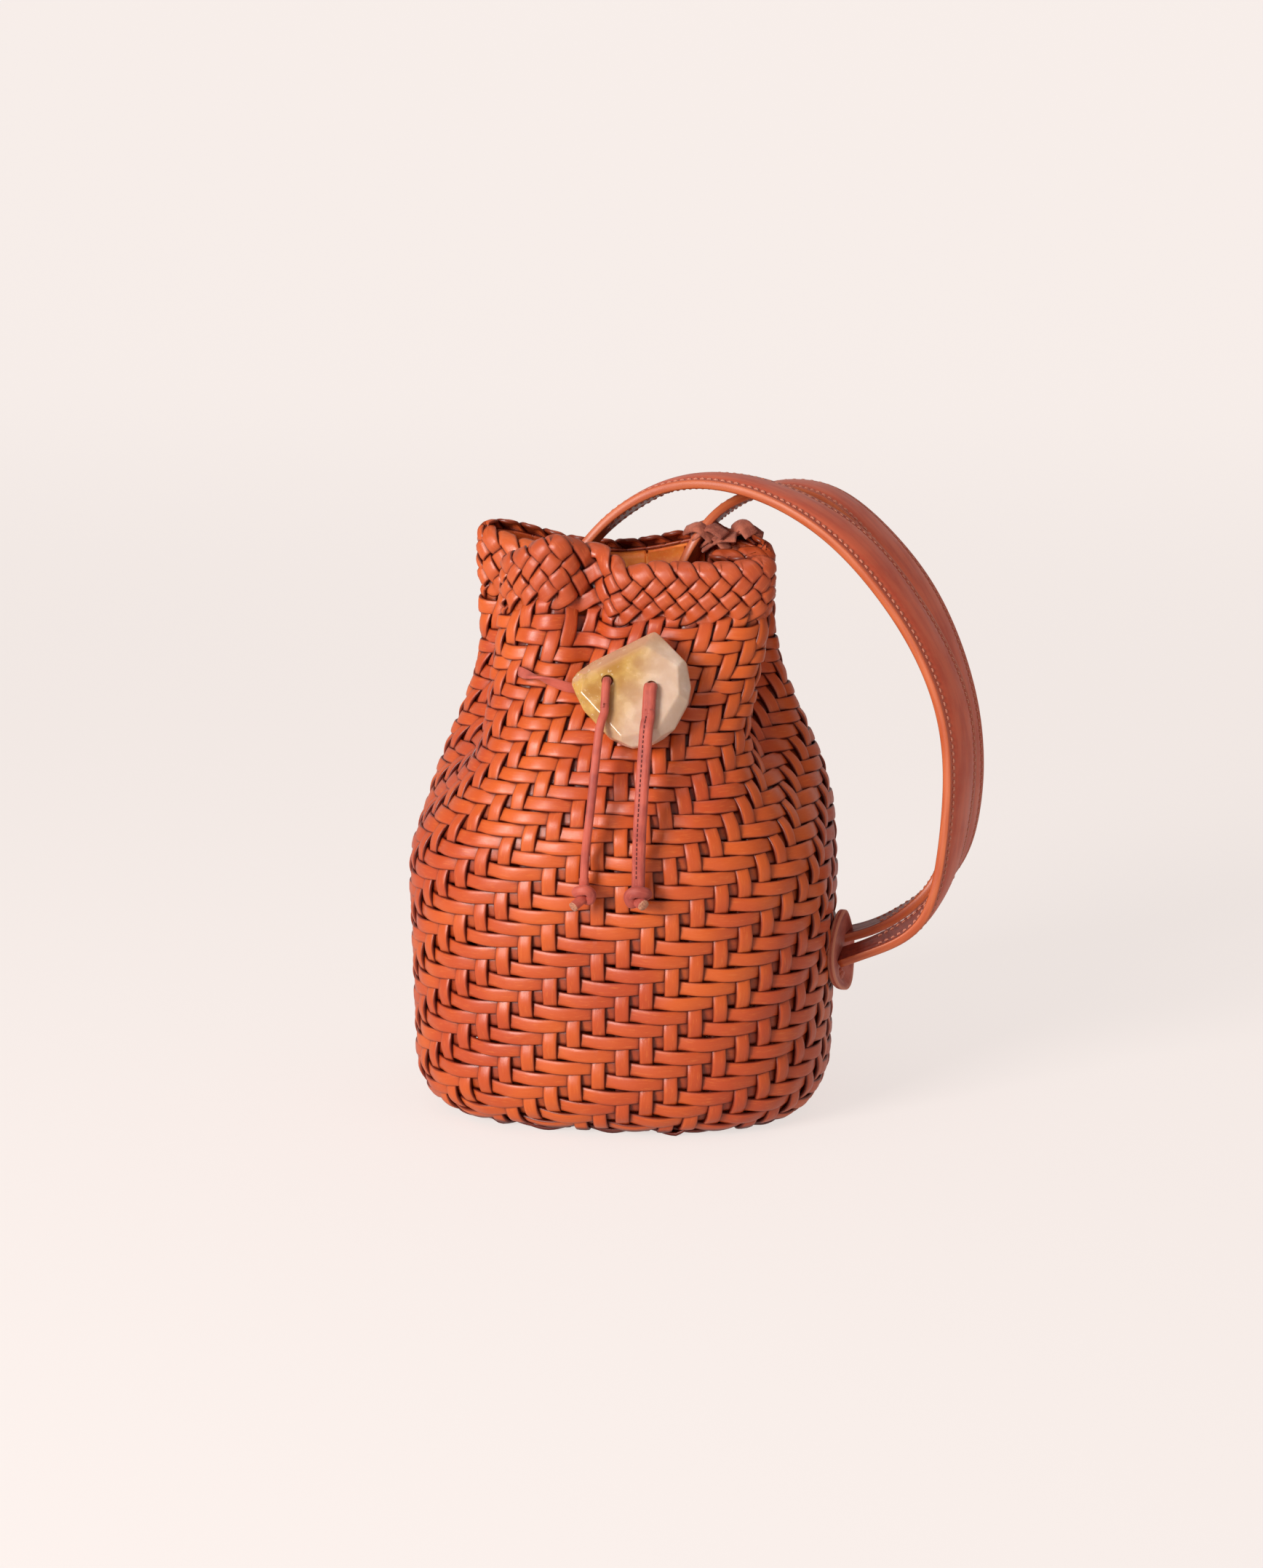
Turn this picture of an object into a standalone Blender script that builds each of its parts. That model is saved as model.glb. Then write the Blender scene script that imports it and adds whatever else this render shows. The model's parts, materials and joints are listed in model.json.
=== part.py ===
"""A hand-woven leather bucket bag: woven body, pleated neck, braided rim, stone toggle, cord, two straps.

Metres, +Z up. The origin is the centre of the flat base, the front (the toggle side) faces -Y and +X is the
viewer's right.
"""

import math

import bmesh
import bpy
import numpy as np
from mathutils import Matrix, Vector

# Bag outline
BODY_HALF_WIDTH = 0.0963
BODY_HALF_DEPTH = 0.0755
BASE_TAPER = 0.0025
BASE_TAPER_Z = 0.100
BASE_EDGE_INSET = 0.020
BASE_EDGE_HEIGHT = 0.026
BODY_SECTION_POWER = 2.6
NECK_SECTION_POWER = 3.0
SQUARER_Z = (0.130, 0.215)
BACK_NECK_HALF_WIDTH = 0.0730
FRONT_NECK_HALF_WIDTH = 0.0655
NECK_HALF_DEPTH = 0.0340
# Where a side's front width turns into its back width, as shares of the half depth
SIDE_BLEND = (-0.7, 0.6)
BACK_TAPER_Z = (0.132, 0.212)
FRONT_TAPER_Z = (0.110, 0.178)
DEPTH_TAPER_Z = (0.122, 0.235)
PLEAT_DEPTH = 0.031
PLEAT_Z = (0.125, 0.235)
PLEAT_FORWARD = 0.25
PLEAT_SPREAD = 0.30
FRONT_LEAN = 0.0145
BACK_LEAN = -0.0080
LEAN_Z = (0.160, 0.250)
PINCH_X = -0.009
PINCH_WIDTH = 0.010
PINCH_DEPTH = 0.006

# Walls, heights and splits
WALL = 0.0040
RIM_WALL = 0.0046
GAP = 0.0007
SHOULDER_Z = 0.1550
BAND_Z = 0.2260
RIM_Z = 0.2500
SPLIT_U = 0.172
SPLIT_GAP_U = 0.0018
LOBE_START_Z = 0.200
# Corner lobes of the rim: place round the bag, rise and spread
FRONT_LEFT_LOBE = (-0.105, 0.0110, 0.055)
BACK_LEFT_LOBE = (-0.370, 0.0100, 0.070)
BACK_RIGHT_LOBE = (0.390, 0.0085, 0.070)
FRONT_RIGHT_LOBE = (0.155, 0.0025, 0.040)
NOTCH_LOBE = (-0.022, -0.0035, 0.018)

# Inner patch
PATCH_U = (0.405, 0.585)
PATCH_Z = (0.2090, 0.2160, 0.2240, 0.2340, 0.2440)
PATCH_THICKNESS = 0.0018
PATCH_GAP = 0.0006

# Stone toggle
STONE_CENTRE = (0.0118, -0.0546, 0.2003)
STONE_TILT_DEG = -24.0
STONE_THICKNESS = 0.0125
STONE_BEVEL = 0.0032
STONE_OUTLINE = (
    (0.0089, 0.0262),
    (0.0238, 0.0115),
    (0.0262, 0.0010),
    (0.0254, -0.0062),
    (0.0203, -0.0177),
    (0.0108, -0.0249),
    (0.0023, -0.0266),
    (-0.0079, -0.0226),
    (-0.0200, -0.0108),
    (-0.0272, 0.0026),
    (-0.0174, 0.0118),
    (-0.0028, 0.0226),
)
HOLE_RADIUS = 0.0024
LEFT_HOLE = (-0.0096, 0.0016)
RIGHT_HOLE = (0.0097, -0.0005)

# Cords
CORD_RADIUS = 0.0016
DRAWCORD_POINTS = 44
TAIL_POINTS = 14
LEFT_TAIL_RADIUS = 0.0018
RIGHT_TAIL_RADIUS = 0.0024
CORD_Z = 0.2035
CORD_INSET = 0.0062
CORD_END_U = 0.185
LEAD_REACH = 0.0052
# The left lead: (across, out from the front wall, up) from inside the neck to beside the stone
LEFT_LEAD = (
    (-0.0465, -0.0078, 0.2035),
    (-0.0415, -0.0064, 0.2035),
    (-0.0330, 0.0030, 0.2025),
    (-0.0200, 0.0028, 0.2010),
    (-0.0070, 0.0029, 0.1990),
)
LEAD_BEHIND_STONE = 0.0023
RIGHT_LEAD_BACK = 0.0215
RIGHT_GAP_CENTRE = 0.0140
RIGHT_GAP_LENGTH = 0.015
DRILL_LENGTH = 0.030
BEND_ROOT = 0.0055
BEND_DROP = 0.0050
TAIL_GAP = 0.0003
TAIL_CLEARANCE = 0.0005
BELLY_Y = -0.0815
BELLY_Z = 0.150
LEFT_KNOT = (-0.0046, 0.1150)
RIGHT_KNOT = (0.0192, 0.1150)
KNOT_RADIUS = 0.0042
LEFT_KNOT_END = (-0.0030, -0.0020, -0.0078)
RIGHT_KNOT_END = (0.0016, -0.0042, -0.0068)
WRAP_SHARE = 0.95
WRAP_RISE = 0.0012
WRAP_POINTS = 14

# Straps
STRAP_WIDTH = 0.0260
TIP_WIDTH = 0.0110
TAPER_LENGTH = 0.060
LEATHER = 0.0020
PADDING_RISE = 0.0012
LAYER_GAP = 0.00015
STITCH_INSET = 0.0030
GROOVE_HALF = 0.00065
GROOVE_DEPTH = 0.0009
THREAD_RADIUS = 0.00034
STRAP_RINGS = 36
TIP_STATIONS = (0.0, 0.0008, 0.0022, 0.0040)
FIRST_BODY_RING = 0.0070
TANGENT_REACH = 0.002
TAPER_START = 0.004
MIN_TIP_WIDTH = 0.0030
THREAD_START = 0.016
PADDING_START = 0.045
NEAR_PATH = (
    (-0.0230, 0.0044, 0.2492),
    (-0.0107, 0.0074, 0.2642),
    (0.0091, 0.0095, 0.2770),
    (0.0317, 0.0091, 0.2821),
    (0.0649, 0.0042, 0.2753),
    (0.0984, -0.0026, 0.2537),
    (0.1305, -0.0077, 0.2129),
    (0.1453, -0.0104, 0.1692),
    (0.1431, -0.0098, 0.1126),
    (0.1343, -0.0075, 0.0852),
    (0.1174, -0.0045, 0.0744),
    (0.1014, -0.0018, 0.0674),
)
FAR_PATH = (
    (0.0304, 0.0137, 0.2578),
    (0.0404, 0.0192, 0.2698),
    (0.0657, 0.0379, 0.2764),
    (0.0894, 0.0405, 0.2682),
    (0.1172, 0.0358, 0.2377),
    (0.1364, 0.0267, 0.2019),
    (0.1460, 0.0221, 0.1588),
    (0.1455, 0.0205, 0.1240),
    (0.1378, 0.0180, 0.0990),
    (0.1164, 0.0125, 0.0802),
    (0.1012, 0.0098, 0.0759),
)
# Direction from a strap's far edge to its near edge, evenly spaced from its top end to its low end
NEAR_LEANS = (
    (-0.025, -0.93, 0.37),
    (0.04, -1.0, -0.05),
    (-0.31, -0.92, -0.22),
    (-0.47, -0.88, 0.12),
    (-0.31, -0.94, -0.12),
    (0.15, -0.94, -0.31),
)
FAR_LEANS = (
    (-0.025, -0.93, 0.37),
    (-0.10, -0.99, -0.05),
    (-0.35, -0.92, -0.10),
    (-0.47, -0.88, 0.07),
    (-0.35, -0.93, 0.00),
    (0.055, -0.987, -0.149),
)
NEAR_SEAT = ((-0.0320, 0.0222, 0.2150), (-0.0310, 0.0185, 0.2290), (-0.0270, 0.0125, 0.2400))
FAR_SEAT = ((0.0205, 0.0222, 0.2150), (0.0215, 0.0210, 0.2320), (0.0255, 0.0192, 0.2460))
SEAT_LEAN = (-0.9, -0.35, 0.0)
SEAT_RINGS = 9
END_GAP = 0.0012

# Leaf tab and its thong
TAB_CENTRE = (0.0978, 0.0090, 0.0715)
TAB_TURN_DEG = 3.5
TAB_HALF_WIDTH = 0.0170
TAB_HALF_HEIGHT = 0.0190
TAB_THICKNESS = 0.0030
TAB_BEVEL = 0.0008
SLOT_CLEARANCE = 0.0005
SLOT_LENGTH = 0.020
STUB_PROUD = 0.0001
STUB_BACK = 0.0002
THONG_AT = (0.0005, -0.0118)
THONG_HOLE_RADIUS = 0.0019
THONG_RADIUS = 0.0014
THONG_HEAD_RADIUS = 0.0032

BODY_SEGMENTS = 48
RING_SAMPLES = 720
SPAN_STEPS = 24
PATH_SAMPLES = 400

LEATHER_ORANGE = (0.52, 0.105, 0.045, 1.0)
LEATHER_RIM = (0.50, 0.10, 0.048, 1.0)
LEATHER_STRAP = (0.43, 0.115, 0.070, 1.0)
LEATHER_LINING = (0.56, 0.17, 0.085, 1.0)
LEATHER_TAN = (0.68, 0.26, 0.075, 1.0)
LEATHER_CORD = (0.42, 0.090, 0.060, 1.0)
LEATHER_TAB = (0.38, 0.095, 0.055, 1.0)
FOAM = (0.70, 0.62, 0.52, 1.0)
THREAD = (0.72, 0.36, 0.26, 1.0)
STONE = (0.70, 0.50, 0.27, 1.0)


def clear_scene():
    for obj in list(bpy.data.objects):
        bpy.data.objects.remove(obj, do_unlink=True)


def make_collections():
    parts = bpy.data.collections.new("bucket_bag")
    cutters = bpy.data.collections.new("bucket_bag_cutters")
    bpy.context.scene.collection.children.link(parts)
    bpy.context.scene.collection.children.link(cutters)
    return parts, cutters


def make_material(name, colour, roughness, transmission=0.0):
    material = bpy.data.materials.new(name)
    material.use_nodes = True
    shader = material.node_tree.nodes["Principled BSDF"]
    shader.inputs["Base Color"].default_value = colour
    shader.inputs["Roughness"].default_value = roughness
    shader.inputs["Metallic"].default_value = 0.0
    shader.inputs["Transmission Weight"].default_value = transmission
    return material


def add_part(name, data, colour, roughness=0.5, transmission=0.0):
    obj = bpy.data.objects.new(name, data)
    data.materials.append(make_material(name + "_surface", colour, roughness, transmission))
    PARTS.objects.link(obj)
    return obj


def add_cutter(name, mesh):
    obj = bpy.data.objects.new(name, mesh)
    CUTTERS.objects.link(obj)
    obj.hide_render = True
    obj.display_type = "WIRE"
    return obj


def smooth_shading(mesh):
    mesh.polygons.foreach_set("use_smooth", [True] * len(mesh.polygons))


def smoothstep(span, value):
    share = np.clip((value - span[0]) / (span[1] - span[0]), 0.0, 1.0)
    return share * share * (3.0 - 2.0 * share)


def between(start, end, span, value):
    """A size that goes smoothly from start to end while the value crosses the span."""
    return start + (end - start) * float(smoothstep(span, value))


def bump(value, centre, spread):
    """A bell of height 1 round a centre."""
    return np.exp(-(((value - centre) / spread) ** 2))


# --- the bag's wall as a surface over (place round the bag, height) ---


def signed_power(value, power):
    return np.sign(value) * np.abs(value) ** power


def lobe_rise(u):
    """How far the rim stands above or below its mean height at each place round the bag."""
    rise = 0.0
    for centre, height, spread in (
        FRONT_LEFT_LOBE,
        BACK_LEFT_LOBE,
        BACK_RIGHT_LOBE,
        FRONT_RIGHT_LOBE,
        NOTCH_LOBE,
    ):
        away = (u - centre + 0.5) % 1.0 - 0.5
        rise = rise + height * bump(away, 0.0, spread)
    return rise


def section(height):
    """The closed outline at a height, as RING_SAMPLES + 1 points from the back centre round by the left."""
    angle = np.linspace(-math.pi, math.pi, RING_SAMPLES + 1)
    power = between(BODY_SECTION_POWER, NECK_SECTION_POWER, SQUARER_Z, height)
    across = signed_power(np.sin(angle), 2.0 / power)
    along = -signed_power(np.cos(angle), 2.0 / power)
    taper = BASE_TAPER * (1.0 - min(height / BASE_TAPER_Z, 1.0))
    back = between(BODY_HALF_WIDTH, BACK_NECK_HALF_WIDTH, BACK_TAPER_Z, height) - taper
    front = between(BODY_HALF_WIDTH, FRONT_NECK_HALF_WIDTH, FRONT_TAPER_Z, height) - taper
    depth = between(BODY_HALF_DEPTH, NECK_HALF_DEPTH, DEPTH_TAPER_Z, height) - taper
    half_width = front + (back - front) * smoothstep(SIDE_BLEND, along)
    valley = between(-PLEAT_FORWARD, 0.0, PLEAT_Z, height)
    pleat = between(0.0, PLEAT_DEPTH, PLEAT_Z, height) * bump(along, valley, PLEAT_SPREAD)
    lean = between(0.0, 1.0, LEAN_Z, height)
    shift = lean * (FRONT_LEAN + (BACK_LEAN - FRONT_LEAN) * (along + 1.0) / 2.0)
    side = across * half_width
    x = side - np.sign(across) * np.minimum(pleat, np.abs(side)) + shift
    pinch = lean * PINCH_DEPTH * bump(x, PINCH_X, PINCH_WIDTH) * (along < 0.0)
    y = depth * along + pinch
    return x, y


def wall_ring(us, height):
    """Outline points at the places us (0 front, 0.25 right, 0.5 back), evenly spaced in each quarter."""
    x, y = section(height)
    step = np.hypot(np.diff(x), np.diff(y))
    length = np.concatenate([[0.0], np.cumsum(step)])
    quarter = RING_SAMPLES // 4
    anchors = length[::quarter]
    target = np.interp((np.asarray(us) + 0.5) % 1.0, np.linspace(0.0, 1.0, 5), anchors)
    return np.stack([np.interp(target, length, x), np.interp(target, length, y)], axis=1)


def wall_normals(us, height):
    small = 1e-3
    ahead = wall_ring(np.asarray(us) + small, height)
    behind = wall_ring(np.asarray(us) - small, height)
    tangent = ahead - behind
    tangent /= np.linalg.norm(tangent, axis=1)[:, None]
    return np.stack([tangent[:, 1], -tangent[:, 0]], axis=1)


def wall_points(us, height, inset=0.0):
    """Points on the outer surface at a nominal height, with the rim's lobes lifted."""
    us = np.asarray(us, float)
    ring = wall_ring(us, height)
    if inset:
        ring = ring - inset * wall_normals(us, height)
    z = height + lobe_rise(us) * smoothstep((LOBE_START_Z, RIM_Z), height)
    return np.column_stack([ring, np.broadcast_to(z, len(us))])


def front_y(x, height):
    xs, ys = section(height)
    front = ys < 0.7 * ys.min()
    order = np.argsort(xs[front])
    return float(np.interp(x, xs[front][order], ys[front][order]))


# --- making meshes ---


def grid_mesh(name, rows, closed):
    """An open surface through rows of points of equal length."""
    mesh = bpy.data.meshes.new(name)
    count = len(rows[0])
    points = np.concatenate(rows)
    faces = []
    for row in range(len(rows) - 1):
        for column in range(count if closed else count - 1):
            near = row * count + column
            side = row * count + (column + 1) % count
            faces.append((near, side, side + count, near + count))
    mesh.from_pydata(points.tolist(), [], faces)
    return mesh


def thicken(obj, thickness):
    solid = obj.modifiers.new("wall", "SOLIDIFY")
    solid.thickness = thickness
    solid.offset = -1.0
    solid.use_even_offset = True
    solid.use_quality_normals = True
    return solid


def cut(obj, cutter, operation="DIFFERENCE"):
    boolean = obj.modifiers.new(cutter.name, "BOOLEAN")
    boolean.operation = operation
    boolean.solver = "EXACT"
    boolean.object = cutter


def make_body():
    """The woven pot: flat base, rounded lower edge, wall up to the shoulder."""
    us = np.arange(BODY_SEGMENTS) / BODY_SEGMENTS
    base = wall_points(us, BASE_EDGE_HEIGHT)
    half = np.array([BODY_HALF_WIDTH, BODY_HALF_DEPTH])
    rows = []
    for share in (0.35, 1.0):
        inner = base.copy()
        inner[:, :2] *= share * (1.0 - BASE_EDGE_INSET / half)
        inner[:, 2] = 0.0
        rows.append(inner)
    for turn in np.linspace(0.0, math.pi / 2, 6)[1:]:
        ring = base.copy()
        ring[:, :2] *= 1.0 - BASE_EDGE_INSET * (1.0 - math.sin(turn)) / half
        ring[:, 2] = BASE_EDGE_HEIGHT * (1.0 - math.cos(turn))
        rows.append(ring)
    for height in (0.060, 0.095, 0.120, 0.138, SHOULDER_Z - GAP / 2):
        rows.append(wall_points(us, height))
    mesh = grid_mesh("woven_body", rows, True)
    shape = bmesh.new()
    shape.from_mesh(mesh)
    shape.verts.ensure_lookup_table()
    shape.faces.new([shape.verts[i] for i in reversed(range(BODY_SEGMENTS))])
    bmesh.ops.recalc_face_normals(shape, faces=shape.faces)
    shape.to_mesh(mesh)
    shape.free()
    smooth_shading(mesh)
    thicken(add_part("woven_body", mesh, LEATHER_ORANGE), WALL)


def make_sheet(name, u_range, heights, columns, thickness, colour, inset=0.0):
    """A piece of the bag's wall between two places round it and two heights, with level ends."""
    us = np.linspace(u_range[0], u_range[1], columns)
    rows = [wall_points(us, height, inset) for height in heights]
    rows += [wall_points(us, height, inset + thickness) for height in reversed(heights)]
    mesh = bpy.data.meshes.new(name)
    faces = []
    for row in range(len(rows)):
        above = (row + 1) % len(rows)
        for column in range(columns - 1):
            start = row * columns + column
            over = above * columns + column
            faces.append((start, start + 1, over + 1, over))
    for column in (0, columns - 1):
        for row in range(len(heights) - 1):
            behind = len(rows) - 1 - row
            corners = (row, row + 1, behind - 1, behind)
            faces.append(tuple(corner * columns + column for corner in corners))
    mesh.from_pydata(np.concatenate(rows).tolist(), [], faces)
    shape = bmesh.new()
    shape.from_mesh(mesh)
    bmesh.ops.recalc_face_normals(shape, faces=shape.faces)
    shape.to_mesh(mesh)
    shape.free()
    return add_part(name, mesh, colour)


def make_neck():
    """The neck above the shoulder: a front panel, and the back panel with both side pleats."""
    low = SHOULDER_Z + GAP / 2
    neck_heights = (low, 0.172, 0.190, 0.208, BAND_Z - GAP / 2)
    rim_heights = (BAND_Z + GAP / 2, 0.238, RIM_Z)
    front = (-SPLIT_U + SPLIT_GAP_U, SPLIT_U - SPLIT_GAP_U)
    back = (SPLIT_U + SPLIT_GAP_U, 1.0 - SPLIT_U - SPLIT_GAP_U)
    neck_front = make_sheet("neck_front", front, neck_heights, 19, WALL, LEATHER_ORANGE)
    make_sheet("neck_back", back, neck_heights, 38, WALL, LEATHER_ORANGE)
    make_sheet("rim_front", front, rim_heights, 25, RIM_WALL, LEATHER_RIM)
    make_sheet("rim_back", back, rim_heights, 38, RIM_WALL, LEATHER_RIM)
    make_sheet("back_patch", PATCH_U, PATCH_Z, 9, PATCH_THICKNESS, LEATHER_TAN, RIM_WALL + PATCH_GAP)
    return neck_front


def plate_mesh(name, outline, thickness):
    """A flat plate in the XZ plane, centred on Y = 0, from its outline."""
    shape = bmesh.new()
    loop = [shape.verts.new((x, thickness / 2, z)) for x, z in outline]
    face = shape.faces.new(loop)
    pushed = bmesh.ops.extrude_face_region(shape, geom=[face])
    moved = [item for item in pushed["geom"] if isinstance(item, bmesh.types.BMVert)]
    bmesh.ops.translate(shape, verts=moved, vec=(0.0, -thickness, 0.0))
    bmesh.ops.recalc_face_normals(shape, faces=shape.faces)
    mesh = bpy.data.meshes.new(name)
    shape.to_mesh(mesh)
    shape.free()
    return mesh


def round_edges(obj, width, segments):
    bevel = obj.modifiers.new("edges", "BEVEL")
    bevel.width = width
    bevel.segments = segments
    bevel.limit_method = "ANGLE"
    bevel.angle_limit = math.radians(50.0)


def cylinder_mesh(name, radius, length, sides, place):
    shape = bmesh.new()
    bmesh.ops.create_cone(
        shape, cap_ends=True, segments=sides, radius1=radius, radius2=radius, depth=length, matrix=place
    )
    mesh = bpy.data.meshes.new(name)
    shape.to_mesh(mesh)
    shape.free()
    return mesh


def stone_frame():
    return Matrix.Translation(STONE_CENTRE) @ Matrix.Rotation(math.radians(STONE_TILT_DEG), 4, "X")


def on_hole(hole, reach):
    """A point on a drilled hole's axis, reach out from the stone's middle plane towards the front."""
    return stone_frame() @ Vector((hole[0], -reach, hole[1]))


def make_stone():
    """A faceted, rounded stone with two drilled holes."""
    mesh = plate_mesh("stone_toggle", STONE_OUTLINE, STONE_THICKNESS)
    mesh.transform(Matrix.Rotation(math.radians(STONE_TILT_DEG), 4, "X"))
    stone = add_part("stone_toggle", mesh, STONE, 0.15, 0.25)
    stone.location = STONE_CENTRE
    round_edges(stone, STONE_BEVEL, 2)
    for side, hole in (("left", LEFT_HOLE), ("right", RIGHT_HOLE)):
        place = stone_frame() @ Matrix.Translation((hole[0], 0.0, hole[1]))
        place = place @ Matrix.Rotation(math.pi / 2, 4, "X")
        drill = cylinder_mesh(side + "_drill", HOLE_RADIUS, DRILL_LENGTH, 20, place)
        cut(stone, add_cutter(side + "_drill", drill))


def smooth_path(points, count):
    """Evenly spaced points on a smooth curve through the given ones."""
    points = np.array([tuple(p) for p in points], float)
    padded = np.vstack([2 * points[0] - points[1], points, 2 * points[-1] - points[-2]])
    dense = []
    for index in range(len(points) - 1):
        p0, p1, p2, p3 = padded[index : index + 4]
        linear = p2 - p0
        square = 2 * p0 - 5 * p1 + 4 * p2 - p3
        cube = 3 * p1 - p0 - 3 * p2 + p3
        for t in np.linspace(0.0, 1.0, SPAN_STEPS, endpoint=False):
            dense.append(p1 + 0.5 * (linear * t + square * t**2 + cube * t**3))
    dense.append(points[-1])
    dense = np.array(dense)
    length = np.concatenate([[0.0], np.cumsum(np.linalg.norm(np.diff(dense, axis=0), axis=1))])
    at = np.linspace(0.0, length[-1], count)
    return np.column_stack([np.interp(at, length, dense[:, axis]) for axis in range(3)]), length[-1]


def make_cord(name, points, radius, colour, count=9, resolution=2, origin=(0.0, 0.0, 0.0)):
    """A leather cord along a smooth path; its object's origin is where it turns, if it turns."""
    path, _ = smooth_path(points, count)
    curve = bpy.data.curves.new(name, "CURVE")
    curve.dimensions = "3D"
    spline = curve.splines.new("POLY")
    spline.points.add(len(path) - 1)
    for point, place in zip(spline.points, path - np.array(origin)):
        point.co = (*place, 1.0)
    spline.use_smooth = True
    curve.bevel_depth = radius
    curve.bevel_resolution = resolution
    curve.use_fill_caps = True
    obj = add_part(name, curve, colour, 0.55)
    obj.location = origin
    return obj


def make_drawcord(neck_front):
    """The cord inside the neck, and its two leads out through the weave into the stone's holes."""
    us = np.linspace(CORD_END_U, 1.0 - CORD_END_U, DRAWCORD_POINTS)
    ring = wall_points(us, CORD_Z, CORD_INSET)
    make_cord("drawcord_back", ring, CORD_RADIUS, LEATHER_CORD, DRAWCORD_POINTS, 1)
    lead = [Vector((x, front_y(x, z) - out, z)) for x, out, z in LEFT_LEAD]
    behind = on_hole(LEFT_HOLE, -STONE_THICKNESS / 2 - LEAD_BEHIND_STONE)
    turn = [on_hole(LEFT_HOLE, reach) for reach in (-0.0050, -0.0020, LEAD_REACH)]
    make_cord("drawcord_left_lead", [*lead, behind, *turn], CORD_RADIUS, LEATHER_CORD, 26)
    inside, outside = lead[1], lead[2]
    way = (outside - inside).normalized()
    place = Matrix.Translation((inside + outside) / 2) @ way.to_track_quat("Z", "Y").to_matrix().to_4x4()
    slit = cylinder_mesh("left_lead_gap", HOLE_RADIUS, DRILL_LENGTH, 12, place)
    cut(neck_front, add_cutter("left_lead_gap", slit))
    straight = [on_hole(RIGHT_HOLE, reach) for reach in (-RIGHT_LEAD_BACK, -0.0080, LEAD_REACH)]
    make_cord("drawcord_right_lead", straight, CORD_RADIUS, LEATHER_CORD, 3)
    place = stone_frame() @ Matrix.Translation((RIGHT_HOLE[0], RIGHT_GAP_CENTRE, RIGHT_HOLE[1]))
    place = place @ Matrix.Rotation(math.pi / 2, 4, "X")
    bore = cylinder_mesh("right_lead_gap", HOLE_RADIUS, RIGHT_GAP_LENGTH, 12, place)
    cut(neck_front, add_cutter("right_lead_gap", bore))


def make_knot(side, top, radius, cord_radius, tip):
    """An overhand knot: a round core, a wrap round it and the cord's cut end."""
    name = side + "_knot"
    shape = bmesh.new()
    bmesh.ops.create_uvsphere(shape, u_segments=14, v_segments=9, radius=radius)
    mesh = bpy.data.meshes.new(name)
    shape.to_mesh(mesh)
    shape.free()
    smooth_shading(mesh)
    knot = add_part(name, mesh, LEATHER_CORD, 0.55)
    knot.location = top
    drop = Vector(tip)
    place = Matrix.Translation(Vector(top) + drop / 2) @ drop.to_track_quat("Z", "Y").to_matrix().to_4x4()
    end = cylinder_mesh(name + "_end", cord_radius, drop.length, 10, place)
    cut(knot, add_cutter(name + "_end", end), "UNION")
    out = radius * WRAP_SHARE
    turns = [
        Vector(top) + Vector((out * math.cos(a), out * math.sin(a), WRAP_RISE * math.cos(a)))
        for a in np.linspace(0.0, 2 * math.pi, WRAP_POINTS, endpoint=False)
    ]
    wrap = bpy.data.curves.new(name + "_wrap", "CURVE")
    wrap.dimensions = "3D"
    spline = wrap.splines.new("POLY")
    spline.points.add(len(turns) - 1)
    for point, place in zip(spline.points, turns):
        point.co = (*place, 1.0)
    spline.use_cyclic_u = True
    wrap.bevel_depth = cord_radius * WRAP_SHARE
    wrap.bevel_resolution = 1
    loose = bpy.data.objects.new(name + "_wrap", wrap)
    CUTTERS.objects.link(loose)
    bpy.context.view_layer.update()
    turned = bpy.data.meshes.new_from_object(loose.evaluated_get(bpy.context.evaluated_depsgraph_get()))
    bpy.data.objects.remove(loose, do_unlink=True)
    cut(knot, add_cutter(name + "_wrap", turned), "UNION")


def make_tail(side, hole, radius, knot_at, tip):
    """One hanging end: the bend over the hole's lip, the tail down over the belly, and its knot."""
    frame = stone_frame()
    out = STONE_THICKNESS / 2 + radius + TAIL_CLEARANCE
    root = on_hole(hole, BEND_ROOT)
    lip = frame @ Vector((hole[0], -out + 0.0002, hole[1] - 0.0008))
    pivot = frame @ Vector((hole[0], -out, hole[1] - BEND_DROP))
    make_cord(
        side + "_cord_bend",
        [root, on_hole(hole, BEND_ROOT + 0.0012), lip, pivot],
        CORD_RADIUS,
        LEATHER_CORD,
        9,
        2,
        tuple(on_hole(hole, STONE_THICKNESS / 2)),
    )
    knot_centre = Vector((knot_at[0], BELLY_Y, knot_at[1]))
    down = (frame.to_3x3() @ Vector((0.0, 0.0, -1.0))).normalized()
    start = pivot + down * TAIL_GAP
    shift = (knot_at[0] - pivot.x) * 0.25
    over = frame @ Vector((hole[0] + shift, -out, STONE_OUTLINE[6][1] + 0.004))
    belly = Vector((0.3 * pivot.x + 0.7 * knot_at[0], BELLY_Y, BELLY_Z))
    end = knot_centre + Vector((0.0, 0.0, KNOT_RADIUS + 0.0003))
    hinge = pivot + frame.to_3x3() @ Vector((0.0, -radius, 0.0))
    path = [start, start + down * 0.004, over, belly, end + Vector((0.0, 0.0, 0.012)), end]
    make_cord(side + "_cord_tail", path, radius, LEATHER_CORD, TAIL_POINTS, 2, tuple(hinge))
    make_knot(side, tuple(knot_centre), KNOT_RADIUS, radius, tip)


# --- straps ---


def strap_width(run, length):
    """Width at a distance from the top end: a round tip, then a taper up to the full width."""
    end = min(run, length - run)
    width = between(TIP_WIDTH, STRAP_WIDTH, (TAPER_START, TAPER_LENGTH), end)
    radius = TIP_WIDTH / 2
    if end < radius:
        width = max(2.0 * math.sqrt(max(radius**2 - (radius - end) ** 2, 0.0)), MIN_TIP_WIDTH)
    return width


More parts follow.
